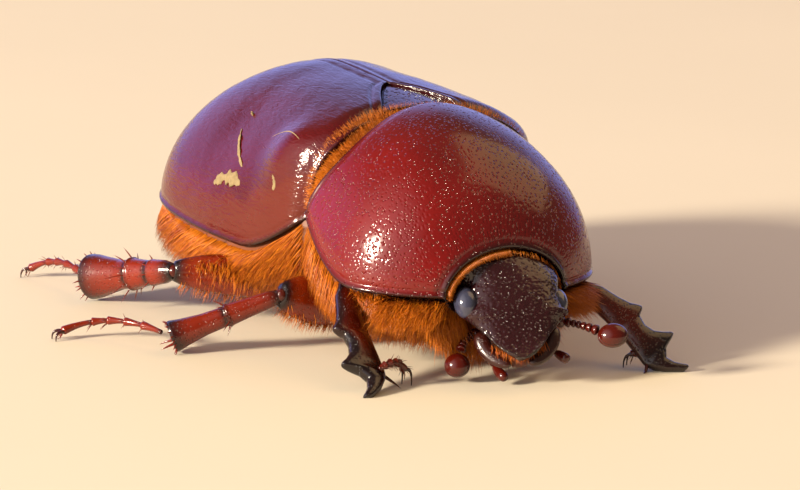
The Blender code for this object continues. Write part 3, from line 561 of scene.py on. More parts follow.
def chitin(name, base, edge, roughness, mottle=0.3, wrinkles=0.0, pores=0.0, pore_depth=0.03,
           painted_glint_share=0.5, pale=None):
    """Sclerotised cuticle, hardened and naturally polished: a clear waxy layer over dark pigment.

    The eye sees deep brown-red with sharp reflections, darker where the plate thickens at its edges;
    the rim attribute also paints shade over the tops of the pronotum and wing cases.
    `pores` is the number of fine pits in a millimetre, `painted_glint_share` how many of them get a
    pale painted glint, `wrinkles` the depth of lengthwise folds and `pale` the colour of a painted glow
    along the wing cases' lower sides, where the thin attribute is high.
    """
    look, tree, shader = new_look(name)
    patches = texture(tree, 'Noise', Scale=0.45, Detail=5.0)
    body = blend(tree, patches, shaded(base, (1 - mottle) ** 2), base)
    # Painted glow: `pale` is painted where the thin attribute is high, along the wing cases' lower sides.
    if pale:
        body = blend(tree, attribute(tree, "thin"), body, pale)
    painted = blend(tree, attribute(tree, "rim"), body, edge)
    if wrinkles:
        folds = texture(tree, 'Noise', (5.5, 1.5, 5.5), Scale=0.9, Detail=3.0, Distortion=1.2)
        set_inputs(shader, {"Normal": bump(tree, folds, wrinkles)})
    if pores:
        cells = texture(tree, 'Voronoi', Scale=pores)
        hollow = ramp(tree, cells, 0.0, 0.36, interpolation_type='SMOOTHSTEP')
        set_inputs(shader, {"Normal": bump(tree, hollow, pore_depth)})
        chance = add_node(tree, 'SeparateXYZ', {0: cells.node.outputs["Color"]})
        # Painted glints: pale specks are painted into some pit centres in place of the light sparkling in
        # the pits.
        painted_glints = add_node(tree, 'Math', {0: ramp(tree, cells, 0.20, 0.06),
                                      1: ramp(tree, chance, 0.45, 0.95, painted_glint_share)}, operation='MULTIPLY')
        painted = blend(tree, painted_glints, painted, linear("D09A86"))
    smears = texture(tree, 'Noise', Scale=2.2, Detail=3.0)
    set_inputs(shader, {"Base Color": painted, "IOR": 1.56,
                        "Roughness": ramp(tree, smears, 0.0, 1.0, roughness * 1.4, roughness * 0.7)})
    return look


def limb_chitin(name, base, edge, pore_depth):
    """The legs' cuticle: strongly mottled, with close fine pores and none of the painted glints."""
    return chitin(name, base, edge, 0.17, mottle=0.5, pores=9.0, pore_depth=pore_depth, painted_glint_share=0.0)


def hair_look(name, colours):
    """Chitin bristles: solid tapered rods, golden where thin, reddish where thick."""
    look, tree, shader = new_look(name)
    tone = blend(tree, attribute(tree, "tone"), colours.hair_dark, colours.hair)
    set_inputs(shader, {"Base Color": tone, "Roughness": 0.42, "IOR": 1.45})
    return look


def skin_look(name, base, edge):
    """Thin leathery cuticle under the hair: dull brown with close pores where the hairs stand."""
    look, tree, shader = new_look(name)
    body = blend(tree, texture(tree, 'Noise', Scale=0.9, Detail=4.0), shaded(base, 0.45), base)
    pores = bump(tree, texture(tree, 'Voronoi', Scale=6.0), 0.03, 0.5)
    set_inputs(shader, {"Base Color": blend(tree, attribute(tree, "rim"), body, edge),
                        "Normal": pores, "Roughness": 0.5})
    return look


def eye_look(name):
    """Compound eye: clear polished lenses over near-black pigment, in facets of about 0.05 mm; its
    grey-blue patches are a painted sheen.
    """
    look, tree, shader = new_look(name)
    # Painted sheen: grey-blue patches over the near-black stand in for a cool reflection on the lenses.
    shade = blend(tree, texture(tree, 'Noise', Scale=1.5), linear("1E1D28"), linear("454860"))
    facets = bump(tree, texture(tree, 'Voronoi', Scale=22.0), 0.01, 0.25)
    set_inputs(shader, {"Base Color": shade, "Normal": facets, "Roughness": 0.12, "IOR": 1.52,
                        "Coat Weight": 0.6})
    return look


def soil_look(name, base):
    """Clay slurry that has dried to a crust: dead matt, pale and crumbly at a tenth of a millimetre."""
    look, tree, shader = new_look(name)
    crumbs = texture(tree, 'Noise', Scale=7.0, Detail=4.0)
    set_inputs(shader, {"Base Color": blend(tree, crumbs, shaded(base, 0.35), base),
                        "Normal": bump(tree, crumbs, 0.05, 0.9), "Roughness": 0.95})
    return look


def floor_look(name, base):
    """Matt limewashed board, rolled smooth: pale, warm and nearly even."""
    look, tree, shader = new_look(name)
    wide = texture(tree, 'Noise', Scale=0.03, Detail=5.0)
    set_inputs(shader, {"Base Color": blend(tree, wide, shaded(base, 0.93), base), "Roughness": 0.85})
    return look


# ---------------------------------------------------------------- shells

def pronotum_half_width(v):
    reach = PRONOTUM_WIDEST / sqrt(1 - PRONOTUM_FRONT_SHARE ** 2)
    front = np.sqrt(clamp(1 - ((PRONOTUM_WIDEST - v) / reach) ** 2))
    hind = 1 - 0.05 * ((v - PRONOTUM_WIDEST) / (1 - PRONOTUM_WIDEST)) ** 2
    return PRONOTUM_HALF_WIDTH * np.where(v < PRONOTUM_WIDEST, front, hind)


def pronotum_margin_z(v):
    return MARGIN_Z + 2.1 * clamp((v - 0.35) / 0.65) ** 1.7


def pronotum_top_z(v):
    front = np.sqrt(clamp(1 - ((PRONOTUM_CROWN_AT - v) / (PRONOTUM_CROWN_AT * 1.01)) ** 2))
    hind = 1 - 0.05 * ((v - PRONOTUM_CROWN_AT) / (1 - PRONOTUM_CROWN_AT)) ** 2
    rise = np.where(v < PRONOTUM_CROWN_AT, front, hind)
    return PRONOTUM_FRONT_TOP + (PRONOTUM_CROWN - PRONOTUM_FRONT_TOP) * rise


def pronotum_point(u, v):
    """u runs from -1 at the right margin to 1 at the left, v from 0 in front to 1 behind."""
    sine, cosine = np.sin(u * pi / 2), clamp(np.cos(u * pi / 2))
    power = 2 / (1.93 * (1 - v) + 1.78 * v)
    lobes = 0.4 * sine ** 2 + 2.6 * (sine * cosine) ** 2
    low = pronotum_margin_z(v)
    return joined(pronotum_half_width(v) * signed_power(sine, power),
                  PRONOTUM_FRONT_Y * (1 - v) + (PRONOTUM_HIND_Y - lobes) * v,
                  low + (pronotum_top_z(v) - low) * cosine ** power)


def crest(g, at, front_loss, power):
    """1 at its crest, falling a little to the front and to 0 at the rear end."""
    ahead, behind = clamp(at - g) / at, clamp((g - at) / (1 - at))
    return (1 - front_loss * ahead ** 2) * clamp(1 - behind ** power) ** (1 / power)


def elytra_half_width(g):
    return ELYTRA_HALF_WIDTH * crest(g, ELYTRA_WIDEST, 0.18, 2.75)


def elytra_margin_z(g):
    shoulder = 1.9 * clamp((0.25 - g) / 0.25) ** 1.6
    return MARGIN_Z + shoulder + (ELYTRA_APEX_Z - MARGIN_Z) * g ** 3


def elytra_top_z(g):
    rise = (ELYTRA_CROWN - ELYTRA_APEX_Z) * crest(g, ELYTRA_CROWN_AT, 0.07, 2.1)
    return np.maximum(ELYTRA_APEX_Z + rise, elytra_margin_z(g))


def elytra_y(g):
    return ELYTRA_BASE_Y + (ELYTRA_APEX_Y - ELYTRA_BASE_Y) * g


def elytra_section_power(g):
    front = clamp(1 - 2 * g)
    return 2 / (2.03 + 0.81 * front * front * (3 - 2 * front))


def elytra_point(angle, g):
    """`angle` is 0 over the mid line and a quarter turn at the left margin."""
    sine, cosine, power = np.sin(angle), np.cos(angle), elytra_section_power(g)
    low = elytra_margin_z(g)
    forward = BASE_LOBE * (sine * cosine) ** 2 + 0.25 * sine ** 2
    hump = HUMP_RISE * bell(np.abs(angle) - HUMP_ANGLE, HUMP_SPREAD) * bell(g - HUMP_AT, HUMP_LENGTH)
    return joined(elytra_half_width(g) * signed_power(sine, power) + hump * sine,
                  elytra_y(g) - forward * clamp(1 - 4 * g) ** 2,
                  low + (elytra_top_z(g) - low) * clamp(cosine) ** power + hump * cosine)


def length_share(y):
    return (y - ELYTRA_BASE_Y) / (ELYTRA_APEX_Y - ELYTRA_BASE_Y)


def scutellum_half_width(y):
    return SCUTELLUM_HALF_WIDTH * (1 - clamp((y - SCUTELLUM_BASE_Y) / SCUTELLUM_LENGTH)) ** 0.75


def build_pronotum(sizes, colours):
    """The shield: fine pits all over, a raised dark margin round it, and painted shade over its top."""
    u, v = np.meshgrid(np.linspace(-1, 1, 520), np.linspace(0, 1, 260))
    grid = pronotum_point(u, v)
    normals = grid_normals(grid)
    right, left, front, hind = edge_distances(grid)
    side = np.minimum(right, left)
    ridges = ((side, 0.09, 0.08, 0.06), (side, 0.28, 0.08, -0.04), (front, 0.10, 0.09, 0.07),
              (front, 0.32, 0.12, -0.04), (hind, 0.08, 0.08, 0.04), (hind, 0.24, 0.08, -0.02))
    relief = sum(bead(*ridge) for ridge in ridges) + 0.012 * swell(grid, 2.6, seed=3)
    smooth_edge = clamp((np.minimum(np.minimum(side, front), hind) - 0.2) / 0.3)
    crowd = smooth_edge * (0.5 + 0.5 * clamp(np.abs(u) * 1.2 + (0.5 - v)))
    relief += pits(grid, 0.20, sizes.pit_radius / MM, 0.017, seed=11, keep=crowd)
    # Painted shade: the top of the shield is darkened, most towards its crown, through the same attribute
    # as its dark edges.
    painted_top_shade = 0.72 * bell(u - 0.06, 0.42) * clamp(0.35 + 0.8 * v)
    rim = np.max([bell(side, 0.16), bell(front, 0.35), painted_top_shade, 0.8 * bell(hind, 0.2)], axis=0)
    grid, values = folded(grid + relief[..., None] * normals, normals, rim=rim)
    # Its look also paints pale glints into some of the pits.
    look = chitin("pronotum polished chitin", colours.pronotum, colours.edge, 0.16, pores=6.8,
                  pore_depth=0.035, painted_glint_share=0.34)
    Piece().sheet(grid, **values).build("pronotum_shell", look, "pronotum_shell", "pronotum")


def elytron_grid(columns, rows):
    """Left wing case: angle, length share and points, with room left for the scutellum."""
    shares = np.sin(np.linspace(0, 0.985, rows) * pi / 2)
    angles = []
    for g in shares:
        beside_plate = elytra_y(g) < SCUTELLUM_BASE_Y + SCUTELLUM_LENGTH
        inner_x = SEAM + (scutellum_half_width(elytra_y(g)) + SEAM if beside_plate else 0)
        width = max(float(elytra_half_width(g)), inner_x)
        start = asin(min(1.0, (inner_x / width) ** (1 / elytra_section_power(g))))
        angles.append(np.linspace(start, pi / 2, columns))
    angles = np.array(angles)
    g = np.broadcast_to(shares[:, None], angles.shape)
    return angles, g, elytra_point(angles, g)


def build_wing_cases(sizes, colours):
    """Two wing cases, rounded down to the pronotum, with a sunk seam stripe, a raised side margin, painted
    shade along their tops and a painted glow along their lower sides.
    """
    look = chitin("wing case polished chitin", colours.wing_case, colours.edge, 0.13, wrinkles=0.032,
                  pale=colours.painted_side_glow)
    angle, g, grid = elytron_grid(170, 240)
    normals = grid_normals(grid)
    inner, outer, front, _ = edge_distances(grid)
    ridges = ((outer, 0.09, 0.08, 0.06), (outer, 0.28, 0.10, -0.04), (inner, 0.46, 0.10, -0.06),
              (inner, 0.1, 0.12, 0.02), (front, 0.0, BASE_ROLL, -BASE_DROP))
    relief = sum(bead(*ridge) for ridge in ridges)
    relief += 0.07 * bell(angle - 0.85, 0.3) * bell(g - 0.86, 0.06)
    # The last term is painted shade: darker along the top of each wing case beside the seam.
    rim = np.max([bell(outer, 0.16), 0.7 * bell(inner, 0.10), 0.5 * bell(front, 0.12),
                  0.65 * bell(angle, 0.6)], axis=0)
    # Painted glow: a brighter orange band with a wavy edge along the lower side, in place of warm light
    # from the sunlit floor; the thin attribute carries it.
    glow_edge_wander = 0.5 * swell(grid, 1.5, seed=52)
    thin = 0.85 / (1 + np.exp((outer - 2.0 + glow_edge_wander) / 0.12)) * clamp(1.2 - g)
    for side, sign in SIDES:
        uneven = 0.02 * swell(grid, 3.1, seed=20 + sign) + 0.006 * swell(grid, 0.9, seed=30 + sign)
        points, values = folded(grid + (relief + uneven)[..., None] * normals, normals, rim=rim, thin=thin)
        values = {key: value[:, ::sign] for key, value in values.items()}
        piece = Piece().sheet(points[:, ::sign] * np.array([sign, 1, 1]), **values)
        piece.build(f"wing_case_{side}", look, "wing_case", f"elytron_{side}")


def build_soil(sizes, colours):
    """A few thin flakes of dried soil and one plant fibre stuck to the right wing case."""
    rng = np.random.default_rng(31)
    piece = Piece()
    share = np.linspace(-1, 1, 60)
    for mark in (*SOIL_MARKS, FIBRE):
        track = elytra_point(*bezier(*mark[:3], 60).T) * np.array([-1, 1, 1])
        ragged = 1 + 0.5 * np.interp(share, np.linspace(-1, 1, 16), rng.uniform(-1, 1, 16))
        radii = mark[3] * np.sqrt(np.clip(1 - share ** 4, 0.02, 1)) * (1.0 if mark == FIBRE else ragged)
        piece.loft(tube_rings(track, radii, 16, flatten=0.35, broad=(0.35, 0, 0.93)))
    piece.build("dried_soil", soil_look("dried clay crust", colours.soil), "wing_case")


def build_scutellum(sizes, colours):
    """The small plate between the wing cases' bases, slightly sunk, with a few pits."""
    y = SCUTELLUM_BASE_Y + SCUTELLUM_LENGTH * np.sin(np.linspace(0, 0.97, 60) * pi / 2)[:, None]
    x = np.linspace(-1, 1, 70) * scutellum_half_width(y)
    grid = joined(x, y, elytra_top_z(length_share(y)) - 0.10 - 0.05 * x ** 2)
    normals = grid_normals(grid)
    right, left, _, _ = edge_distances(grid)
    side = np.minimum(right, left)
    relief = bead(side, 0.0, 0.10, -0.05) + pits(grid, 0.3, sizes.pit_radius / MM, 0.03, seed=5)
    grid, values = folded(grid + relief[..., None] * normals, normals, rim=bell(side, 0.15))
    # With pits, this look paints pale glints into some of them (the default painted_glint_share).
    look = chitin("scutellum polished chitin", shaded(colours.wing_case, 0.35), colours.edge, 0.14,
                  pores=4.0)
    Piece().sheet(grid, **values).build("scutellum_shell", look, "scutellum_plate", "scutellum")


# ---------------------------------------------------------------- trunk skin

def trunk_sizes(y):
    """Half width, ledge height, belly height and crown height of the trunk at each y."""
    v_low = np.clip((y - PROSTERNUM_FRONT_Y) / (PRONOTUM_HIND_Y - PROSTERNUM_FRONT_Y), 0.03, 1)
    v_top = clamp((y - PRONOTUM_FRONT_Y) / (PRONOTUM_HIND_Y - PRONOTUM_FRONT_Y))
    g = clamp(length_share(y))
    ahead = y < (PRONOTUM_HIND_Y + ELYTRA_BASE_Y) / 2
    apex_top = ELYTRA_APEX_Z - 0.12
    belly = apex_top - (apex_top - BELLY_Z) * np.sqrt(1 - g ** 5)
    half_width = np.where(ahead, pronotum_half_width(v_low) - 0.25, elytra_half_width(g) - 0.05)
    ledge = np.where(ahead, pronotum_margin_z(v_low), elytra_margin_z(g)) - 0.2
    crown = np.where(ahead, pronotum_top_z(v_top), elytra_top_z(g)) - SHELL_ROOM
    return half_width, ledge, np.where(ahead, BELLY_Z, belly), np.maximum(crown, ledge + 0.05)


def underside_point(share, y):
    """`share` runs from 0 at the left ledge round the belly to 1 at the right ledge."""
    half_width, ledge, belly, _ = trunk_sizes(y)
    tail = TAIL_BULGE * clamp(length_share(y)) ** 4 * (1 - (2 * share - 1) ** 4)
    return joined((half_width - COAT_DEPTH) * signed_power(np.cos(share * pi), 0.85), y + tail,
                  ledge - (ledge - belly - COAT_DEPTH) * clamp(np.sin(share * pi)) ** 0.75)


def upper_trunk_point(share, y):
    """The part under the shells: 0 at the right ledge, over the back, to 1 at the left ledge."""
    half_width, ledge, _, crown = trunk_sizes(y)
    angle = (share - 0.5) * pi
    return joined((half_width - 0.45) * signed_power(np.sin(angle), 0.9), y,
                  ledge + (crown - ledge) * clamp(np.cos(angle)) ** 0.9)


def build_underside(sizes, colours):
    """One skin for the soft trunk: belly plates step down to the tail, the back lies under shells."""
    y = np.concatenate([np.linspace(PROSTERNUM_FRONT_Y, 11.0, 150), np.linspace(11.05, TRUNK_END_Y, 26)])
    lower = underside_point(np.linspace(0, 1, 90), y[:, None])
    upper = upper_trunk_point(np.linspace(0, 1, 50)[1:-1], y[:, None])
    plates = sum(bead(y, end, 0.07, -0.07) + bead(y, end - 0.25, 0.18, 0.03) for end in STERNITE_ENDS)
    normals = grid_normals(lower)
    outward = np.where((normals * (lower - [0, 0, 4])).sum(-1, keepdims=True) < 0, -1, 1) * normals
    rings = np.concatenate([lower + outward * plates[:, None, None], upper], axis=1)
    look = skin_look("underside leathery cuticle", colours.skin, colours.edge)
    piece = Piece().loft(rings[::-1], bulge=0.1, rim=clamp(-plates * 10)[::-1, None])
    piece.build("trunk_skin", look, "hairy_underside", "prothorax", "thorax", "abdomen")


# ---------------------------------------------------------------- head

def neck_arch(angles, forward):
    """The back of the head follows the pronotum's front opening."""
    sine, cosine = np.sin(angles), np.cos(angles)
    half_width = pronotum_half_width(0.0) - NECK_INSET
    top = pronotum_top_z(0.0) - NECK_INSET
    height = np.where(sine > 0, top - MARGIN_Z, 1.2) * signed_power(sine, 1.03)
    return joined(half_width * signed_power(cosine, 1.03), PRONOTUM_FRONT_Y + 0.25 - 0.5 * forward,
                  MARGIN_Z + height)


def head_rings(rows=230, sides=260):
    """The capsule's rings from the neck to the tip of the clypeus."""
    forward, half_width, edge_z, middle_z, depth = table_rows(HEAD_SECTIONS, rows, 2).T[..., None]
    angles = circle(sides)
    height = np.where(np.sin(angles) > 0, middle_z - edge_z, depth)
    rings = capsule_place(joined(half_width * signed_power(np.cos(angles), 0.9), -forward,
                                 edge_z + height * signed_power(np.sin(angles), 0.85)))
    share = clamp((1.0 - forward) / 1.3)[..., None]
    share = share * share * (3 - 2 * share)
    return rings * (1 - share) + neck_arch(angles, forward) * share, forward, angles


def build_head(sizes, colours):
    """A flat shovel-shaped head: coarse pits, a low cross ridge and a turned-up front edge."""
    rings, forward, angles = head_rings()
    normals = unit(np.cross(np.roll(rings, -1, 1) - np.roll(rings, 1, 1), np.gradient(rings, axis=0)))
    top = clamp(np.sin(angles) * 4)
    edge = bell(np.sin(angles), 0.22)
    clypeus = clamp((forward - 2.2) / 0.3)
    relief = 0.06 * edge * clypeus + bead(forward, 2.32, 0.2, 0.045) * top
    crowd = np.clip(top, 0.05, 1) * np.clip((forward + 0.3) / 0.6, 0.1, 1) * (1 - 0.5 * clypeus)
    relief += pits(rings, 0.15, sizes.head_pit_radius / MM, 0.018, seed=41, keep=crowd)
    # A few painted glints: pale specks in some of the head's pits.
    look = chitin("head pitted chitin", colours.head, colours.edge, 0.12, mottle=0.45, pores=7.5,
                  pore_depth=0.035, painted_glint_share=0.05)
    piece = Piece().loft(rings + relief[..., None] * normals, rim=0.7 * edge * clypeus)
    piece.build("head_capsule", look, "head_capsule", "head")


def build_eyes(sizes, colours):
    """Two round compound eyes, half sunk in the head's sides."""
    look = eye_look("compound eye lens")
    for side, centre in EYE_CENTRE.items():
        piece = Piece().loft(capsule_place(ellipsoid_rings(centre, EYE_RADII, 48, 32)))
        piece.build(f"compound_eye_{side}", look, "eye_lens", f"eye_{side}")


def beaded(path, joints, reach, flare, sides, dark=0.0):
    """Rounded joints along a path in the head's frame, each thickest towards its far end."""
    piece = Piece()
    for first, last, radius in joints:
        part = path[first:last + 1]
        share = np.linspace(-reach, reach, len(part))
        radii = radius * (1 - share ** 4) ** 0.6 * (1 + flare * share)
        piece.loft(head_place(tube_rings(part, radii, sides)), rim=dark * np.abs(share)[:, None] ** 3)
    return piece


def build_mouth(sizes, colours):
    """Jaws on each side of the clypeus, the lip block under it and a pair of jointed palps."""
    jaw = chitin("mandible polished chitin", colours.jaw, colours.edge, 0.24, pores=9.0,
                 pore_depth=0.015, painted_glint_share=0.0)
    share = np.linspace(0, 1, 40)
    radii = 0.38 * np.sqrt(np.clip(1 - (2 * share - 1) ** 6, 0.04, 1)) * (1 - 0.3 * share)
    for side, sign in SIDES:
        path = bezier(*MANDIBLE, 40) * np.array([sign, 1, 1])
        piece = Piece().loft(head_place(tube_rings(path, radii, 24, 0.72, (sign, 0, 0))), rim=0.0)
        piece.build(f"jaw_{side}", jaw, "jaw_black", f"mandible_{side}")

    forward, half_width, half_height = table_rows(LIP_SECTIONS, 40, 2).T[..., None]
    angles = circle(48)
    cleft = 1 - 0.10 * bell(np.cos(angles), 0.18)
    rings = joined(half_width * signed_power(np.cos(angles), 0.8), -forward,
                   -1.57 + 0.12 * forward + half_height * signed_power(np.sin(angles), 0.8) * cleft)
    lip = chitin("mouthparts satin chitin", shaded(colours.thigh, 0.3), colours.edge, 0.34)
    piece = Piece().loft(head_place(rings), bulge=0.05, rim=0.0)
    piece.build("lip_block", lip, "mouth_brown", "mouthparts")

    red = chitin("palp polished chitin", colours.feeler, colours.edge, 0.16)
    for side, curve in PALP.items():
        piece = beaded(bezier(*curve, 60), PALP_JOINTS, 0.97, 0.25, 18)
        piece.build(f"jointed_palp_{side}", red, "feeler_red", f"palp_{side}")


def build_antennae(sizes, colours):
    """Beaded stems that end in a club of three leaves pressed together."""
    red = chitin("antenna polished chitin", colours.feeler, colours.edge, 0.14)
    share = np.linspace(-0.985, 0.985, 60)[:, None]
    groove = 1 - 0.10 * bell(np.abs(share) - 0.3, 0.035)
    size = np.sqrt(1 - share ** 2) * groove
    leaves = joined(size * np.cos(circle(40)), size * np.sin(circle(40)), share)
    for side, curve in ANTENNA.items():
        piece = beaded(bezier(*curve, 120), ANTENNA_JOINTS, 0.96, 0.2, 16, dark=0.35)
        piece.build(f"antenna_stem_{side}", red, "feeler_red", f"antenna_{side}")
        centre, radii = np.array(CLUB[side])
        piece = Piece().loft(head_place(centre + radii * leaves), rim=clamp(9 * (1 - groove)))
        piece.build(f"antenna_leaves_{side}", red, "feeler_red", f"antenna_club_{side}")


# ---------------------------------------------------------------- legs

class Segment:
    """A leg segment's own frame: x its broad direction, y through it, z from its start to its end."""

    def __init__(self, start, end, broad):
        self.start = np.array(start)
        self.reach = norms(end - self.start)
        ahead = unit(end - self.start)
        aside = unit(broad - ahead * np.dot(broad, ahead))
        self.axes = np.array([aside, np.cross(ahead, aside), ahead])

    def place(self, x, y, share):
        """Points beside the segment's axis at shares of its length."""
        return self.start + joined(x, y, share * self.reach) @ self.axes

    def rings(self, table, sides, count, softness=1):
        """Rings of a flattened limb from rows of (share, inner x, outer x, half thickness)."""
        share, inner, outer, thickness = table_rows(table, count, softness).T[..., None]
        angles = circle(sides)
        x = (inner + outer) / 2 + (outer - inner) / 2 * np.cos(angles)
        return self.place(x, thickness * signed_power(np.sin(angles), 0.85), share)


def lifted(points, height=0.0):
    """Points with those below a height above the floor lifted to it."""
    return np.maximum(points, [-np.inf, -np.inf, height])


def thorn(piece, base, direction, size, radius, **values):
    """A short curved spine."""
    ahead = unit(direction) * size
    path = bezier(base - ahead * 0.1, base + ahead * 0.5, base + ahead - [0, 0, 0.12 * size], 6)
    radii = radius * np.array([1, 0.95, 0.8, 0.6, 0.35, 0.06])
    piece.loft(tube_rings(lifted(path, 0.03), radii, 7), **values)


def add_spines(piece, shin, at, radius, count, size, rng):
    """A ring of spines round a shin, pointing out and towards the foot; none digs into the floor."""
    for angle in circle(count) + 2 * pi * rng.uniform(0, 0.5 / count, count):
        outward = np.array([cos(angle), sin(angle), 0]) @ shin.axes
        base = shin.place(0, 0, at) + outward * radius * 0.92
        if base[2] > 0.15:
            spine = size * rng.uniform(0.7, 1.2)
            thorn(piece, base, outward * rng.uniform(0.9, 1.6) + shin.axes[2], spine, 0.035, rim=0.1)


def digging_shin(shin):
    """A flat toothed plate, dark along its teeth and towards the foot, with one spur."""
    share = np.linspace(0, 1, 170)[:, None]
    dark = bell(share, 0.05) + 0.9 * clamp(np.cos(circle(64)) * 2 - 0.6)
    dark = dark + 0.95 * clamp((share - 0.45) / 0.3)
    piece = Piece().loft(lifted(shin.rings(FORE_TIBIA, 64, 170)), bulge=0.03, rim=clamp(dark))
    across, _, ahead = shin.axes
    thorn(piece, shin.place(-0.70, 0.05, 0.76), ahead * 0.55 - across, 0.85, 0.08, rim=0.3)
    return piece


def walking_shin(shin, pair, rng):
    """A trumpet with collars of spines, a crown of short ones round its end and two spurs."""
    knee, apex = PAIRS[pair].knee, PAIRS[pair].apex
    share = np.linspace(0, 1, 170)[:, None]
    dark = bell(share, 0.10) + 0.95 * bell(share - 1, 0.14)
    dark = dark + 0.55 * clamp(np.cos(circle(48) - 0.9)) ** 2 * (0.3 + share)
    piece = Piece()
    for at, widen, count, size in COLLARS[pair]:
        dark = dark + 0.9 * bell(share - at - 0.02, 0.035)
        add_spines(piece, shin, at, knee + (apex - knee) * widen, count, size, rng)
    shares, widening = np.array(TRUMPETS[pair]).T
    radii = knee + (apex - knee) * widening
    table = joined(shares, -radii, radii, 0.92 * radii)
    piece.loft(lifted(shin.rings(table, 48, 170)), bulge=0.02, rim=clamp(dark))
    add_spines(piece, shin, 0.985, apex * 0.97, 18, 0.28, rng)
    across, through, ahead = shin.axes
    for sign in (-1, 1):
        base = shin.place(-0.35 * apex, 0.45 * sign * apex, 0.985)
        thorn(piece, base, ahead + through * 0.25 * sign + across * 0.1, 0.6, 0.07, rim=0.1)
    return piece


def build_shin(name, leg, look):
    """One tibia and its knee joint."""
    pair, side = name.split("_")
    shin = Segment(leg.knee, leg.ankle, leg.broad)
    rng = np.random.default_rng(len(name) * 7 + (side == "left"))
    piece = digging_shin(shin) if pair == "fore" else walking_shin(shin, pair, rng)
    piece.loft(ellipsoid_rings(leg.knee, (0.28, 0.28, 0.28), 20, 12), rim=0.7)
    piece.build(f"shin_{name}", look, "leg_cuticle", f"tibia_{name}")


def build_foot(name, leg, look):
    """Five joints, each flared at its end with a few bristles, and two hooked claws."""
    path = bezier(*leg.foot, 101)
    piece = Piece()
    rng = np.random.default_rng(len(name) + 5)
    for first, last in FOOT_JOINTS:
        part = path[first:last + 1]
        share = np.linspace(0, 1, len(part))
        radii = (0.10 + 0.10 * share ** 1.6) * (1 - 0.75 * clamp((share - 0.9) / 0.1) ** 2)
        piece.loft(tube_rings(part, radii, 14), bulge=0.02, rim=0.7 * bell(share, 0.15)[:, None])
        ahead = unit(part[-1] - part[-3])
        across = unit(np.cross(ahead, UP))
        for _ in range(9):
            outward = unit(across * rng.uniform(-1, 1) + np.array(UP) * rng.uniform(-1, 0.6))
            base = part[-2] + outward * 0.1
            thorn(piece, base, ahead * 0.8 + outward, rng.uniform(0.2, 0.4), 0.018, rim=0.1)
    ahead = unit(path[-1] - path[-12])
    across = unit(np.cross(ahead, UP))
    flat_ahead = unit(ahead * [1, 1, 0])
    for sign in (-1, 1):
        root = path[-1] + across * 0.08 * sign - flat_ahead * 0.08
        bend = path[-1] + across * 0.22 * sign + flat_ahead * 0.34 + [0, 0, 0.10]
        hook = bezier(root, bend, bend * [1, 1, 0] - flat_ahead * 0.04, 24)
        piece.loft(tube_rings(hook, np.linspace(0.085, 0.02, 24), 12), rim=0.8)
    piece.build(f"foot_{name}", look, "leg_cuticle", f"tarsus_{name}")


def build_thigh(name, leg, pair, look):
    """One femur with its hip joint."""
    shares, swelling = np.array(FEMUR_SWELL).T
    half_breadth, half_thickness = pair.breadth / 2 * swelling, pair.thickness / 2 * swelling
    thigh = Segment(leg.hip, leg.knee, pair.broad)
    rings = thigh.rings(joined(shares, -half_breadth, half_breadth, half_thickness), 48, 90, 6)
    share = np.linspace(0, 1, 90)[:, None]
    dark = bell(share - 1, 0.08) + 0.5 * clamp(np.cos(circle(48) - 0.6)) ** 3
    piece = Piece().loft(rings, bulge=0.05, rim=clamp(dark))
    piece.loft(ellipsoid_rings(thigh.place(0, 0, 0.06), (0.75, 0.75, 0.7)), rim=0.5)
    piece.build(f"thigh_{name}", look, "thigh_cuticle", f"femur_{name}")


def build_legs(sizes, colours):
    """Three pairs of legs; the digging pair's shins are the darkest."""
    for key, pair in PAIRS.items():
        shade = 0.5 if key == "fore" else 1.0
        thigh = limb_chitin(f"{key} thigh polished chitin", colours.thigh, colours.edge, 0.02)
        shin = limb_chitin(f"{key} shin polished chitin", shaded(colours.shin, shade), colours.edge, 0.03)
        for side, _ in SIDES:
            name = f"{key}_{side}"
            build_thigh(name, LEGS[name], pair, thigh)
            build_shin(name, LEGS[name], shin)
            build_foot(name, LEGS[name], shin)


# ---------------------------------------------------------------- hair

def add_hairs(piece, rng, sizes, roots, directions, sag, places, lengths, thickness=1.0, tones=(0, 1)):
    """Tapered three-sided hairs: each starts along its direction and bends over by its sag.

    `places` are the hairs' corners on the unwrap, `tones` run from 0, reddish, to 1, golden.
    """
    count = len(roots)
    directions = unit(directions)
    sag = np.broadcast_to(sag, roots.shape)
    bent = directions[:, None] * HAIR_SHARES + sag[:, None] * HAIR_SHARES ** 2
    centres = lifted(roots[:, None] + bent * lengths[:, None, None], 0.04)
    aside = unit(np.cross(directions, [0.31, 0.17, 0.93]))
    upward = np.cross(directions, aside)
    angles = circle(3)[:, None]
    ring = np.cos(angles) * aside[:, None] + np.sin(angles) * upward[:, None]
    radii = thickness * sizes.hair_radius / MM * (1 - HAIR_SHARES[:3] ** 1.5)
    rings = centres[:, :3, None] + radii[..., None] * ring[:, None]
    points = np.concatenate([rings.reshape(count, 9, 3), centres[:, 3:]], axis=1)
    first = np.arange(count)[:, None, None] * 10
    offsets = np.array([[i, j] for i in range(3) for j in range(3)] + [[3, 1]]) / 3 * PATCH
    patch = (places[:, None] + offsets).reshape(-1, 2)
    piece.add(points, grid_quads(3, 3, closed=True) + first, HAIR_ENDS + first,
              tone=np.repeat(rng.uniform(*tones, count), 10), patch=patch)


def skin_frame(share, y):
    """Points of the trunk's underside and its outward normals there."""
    step = 1e-3
    across = underside_point(clamp(share + step), y) - underside_point(clamp(share - step), y)
    along = underside_point(share, y + step) - underside_point(share, y - step)
    points, normals = underside_point(share, y), unit(np.cross(across, along))
    return points, normals * np.sign((normals * (points - [0, 0, 3.5])).sum(-1, keepdims=True))


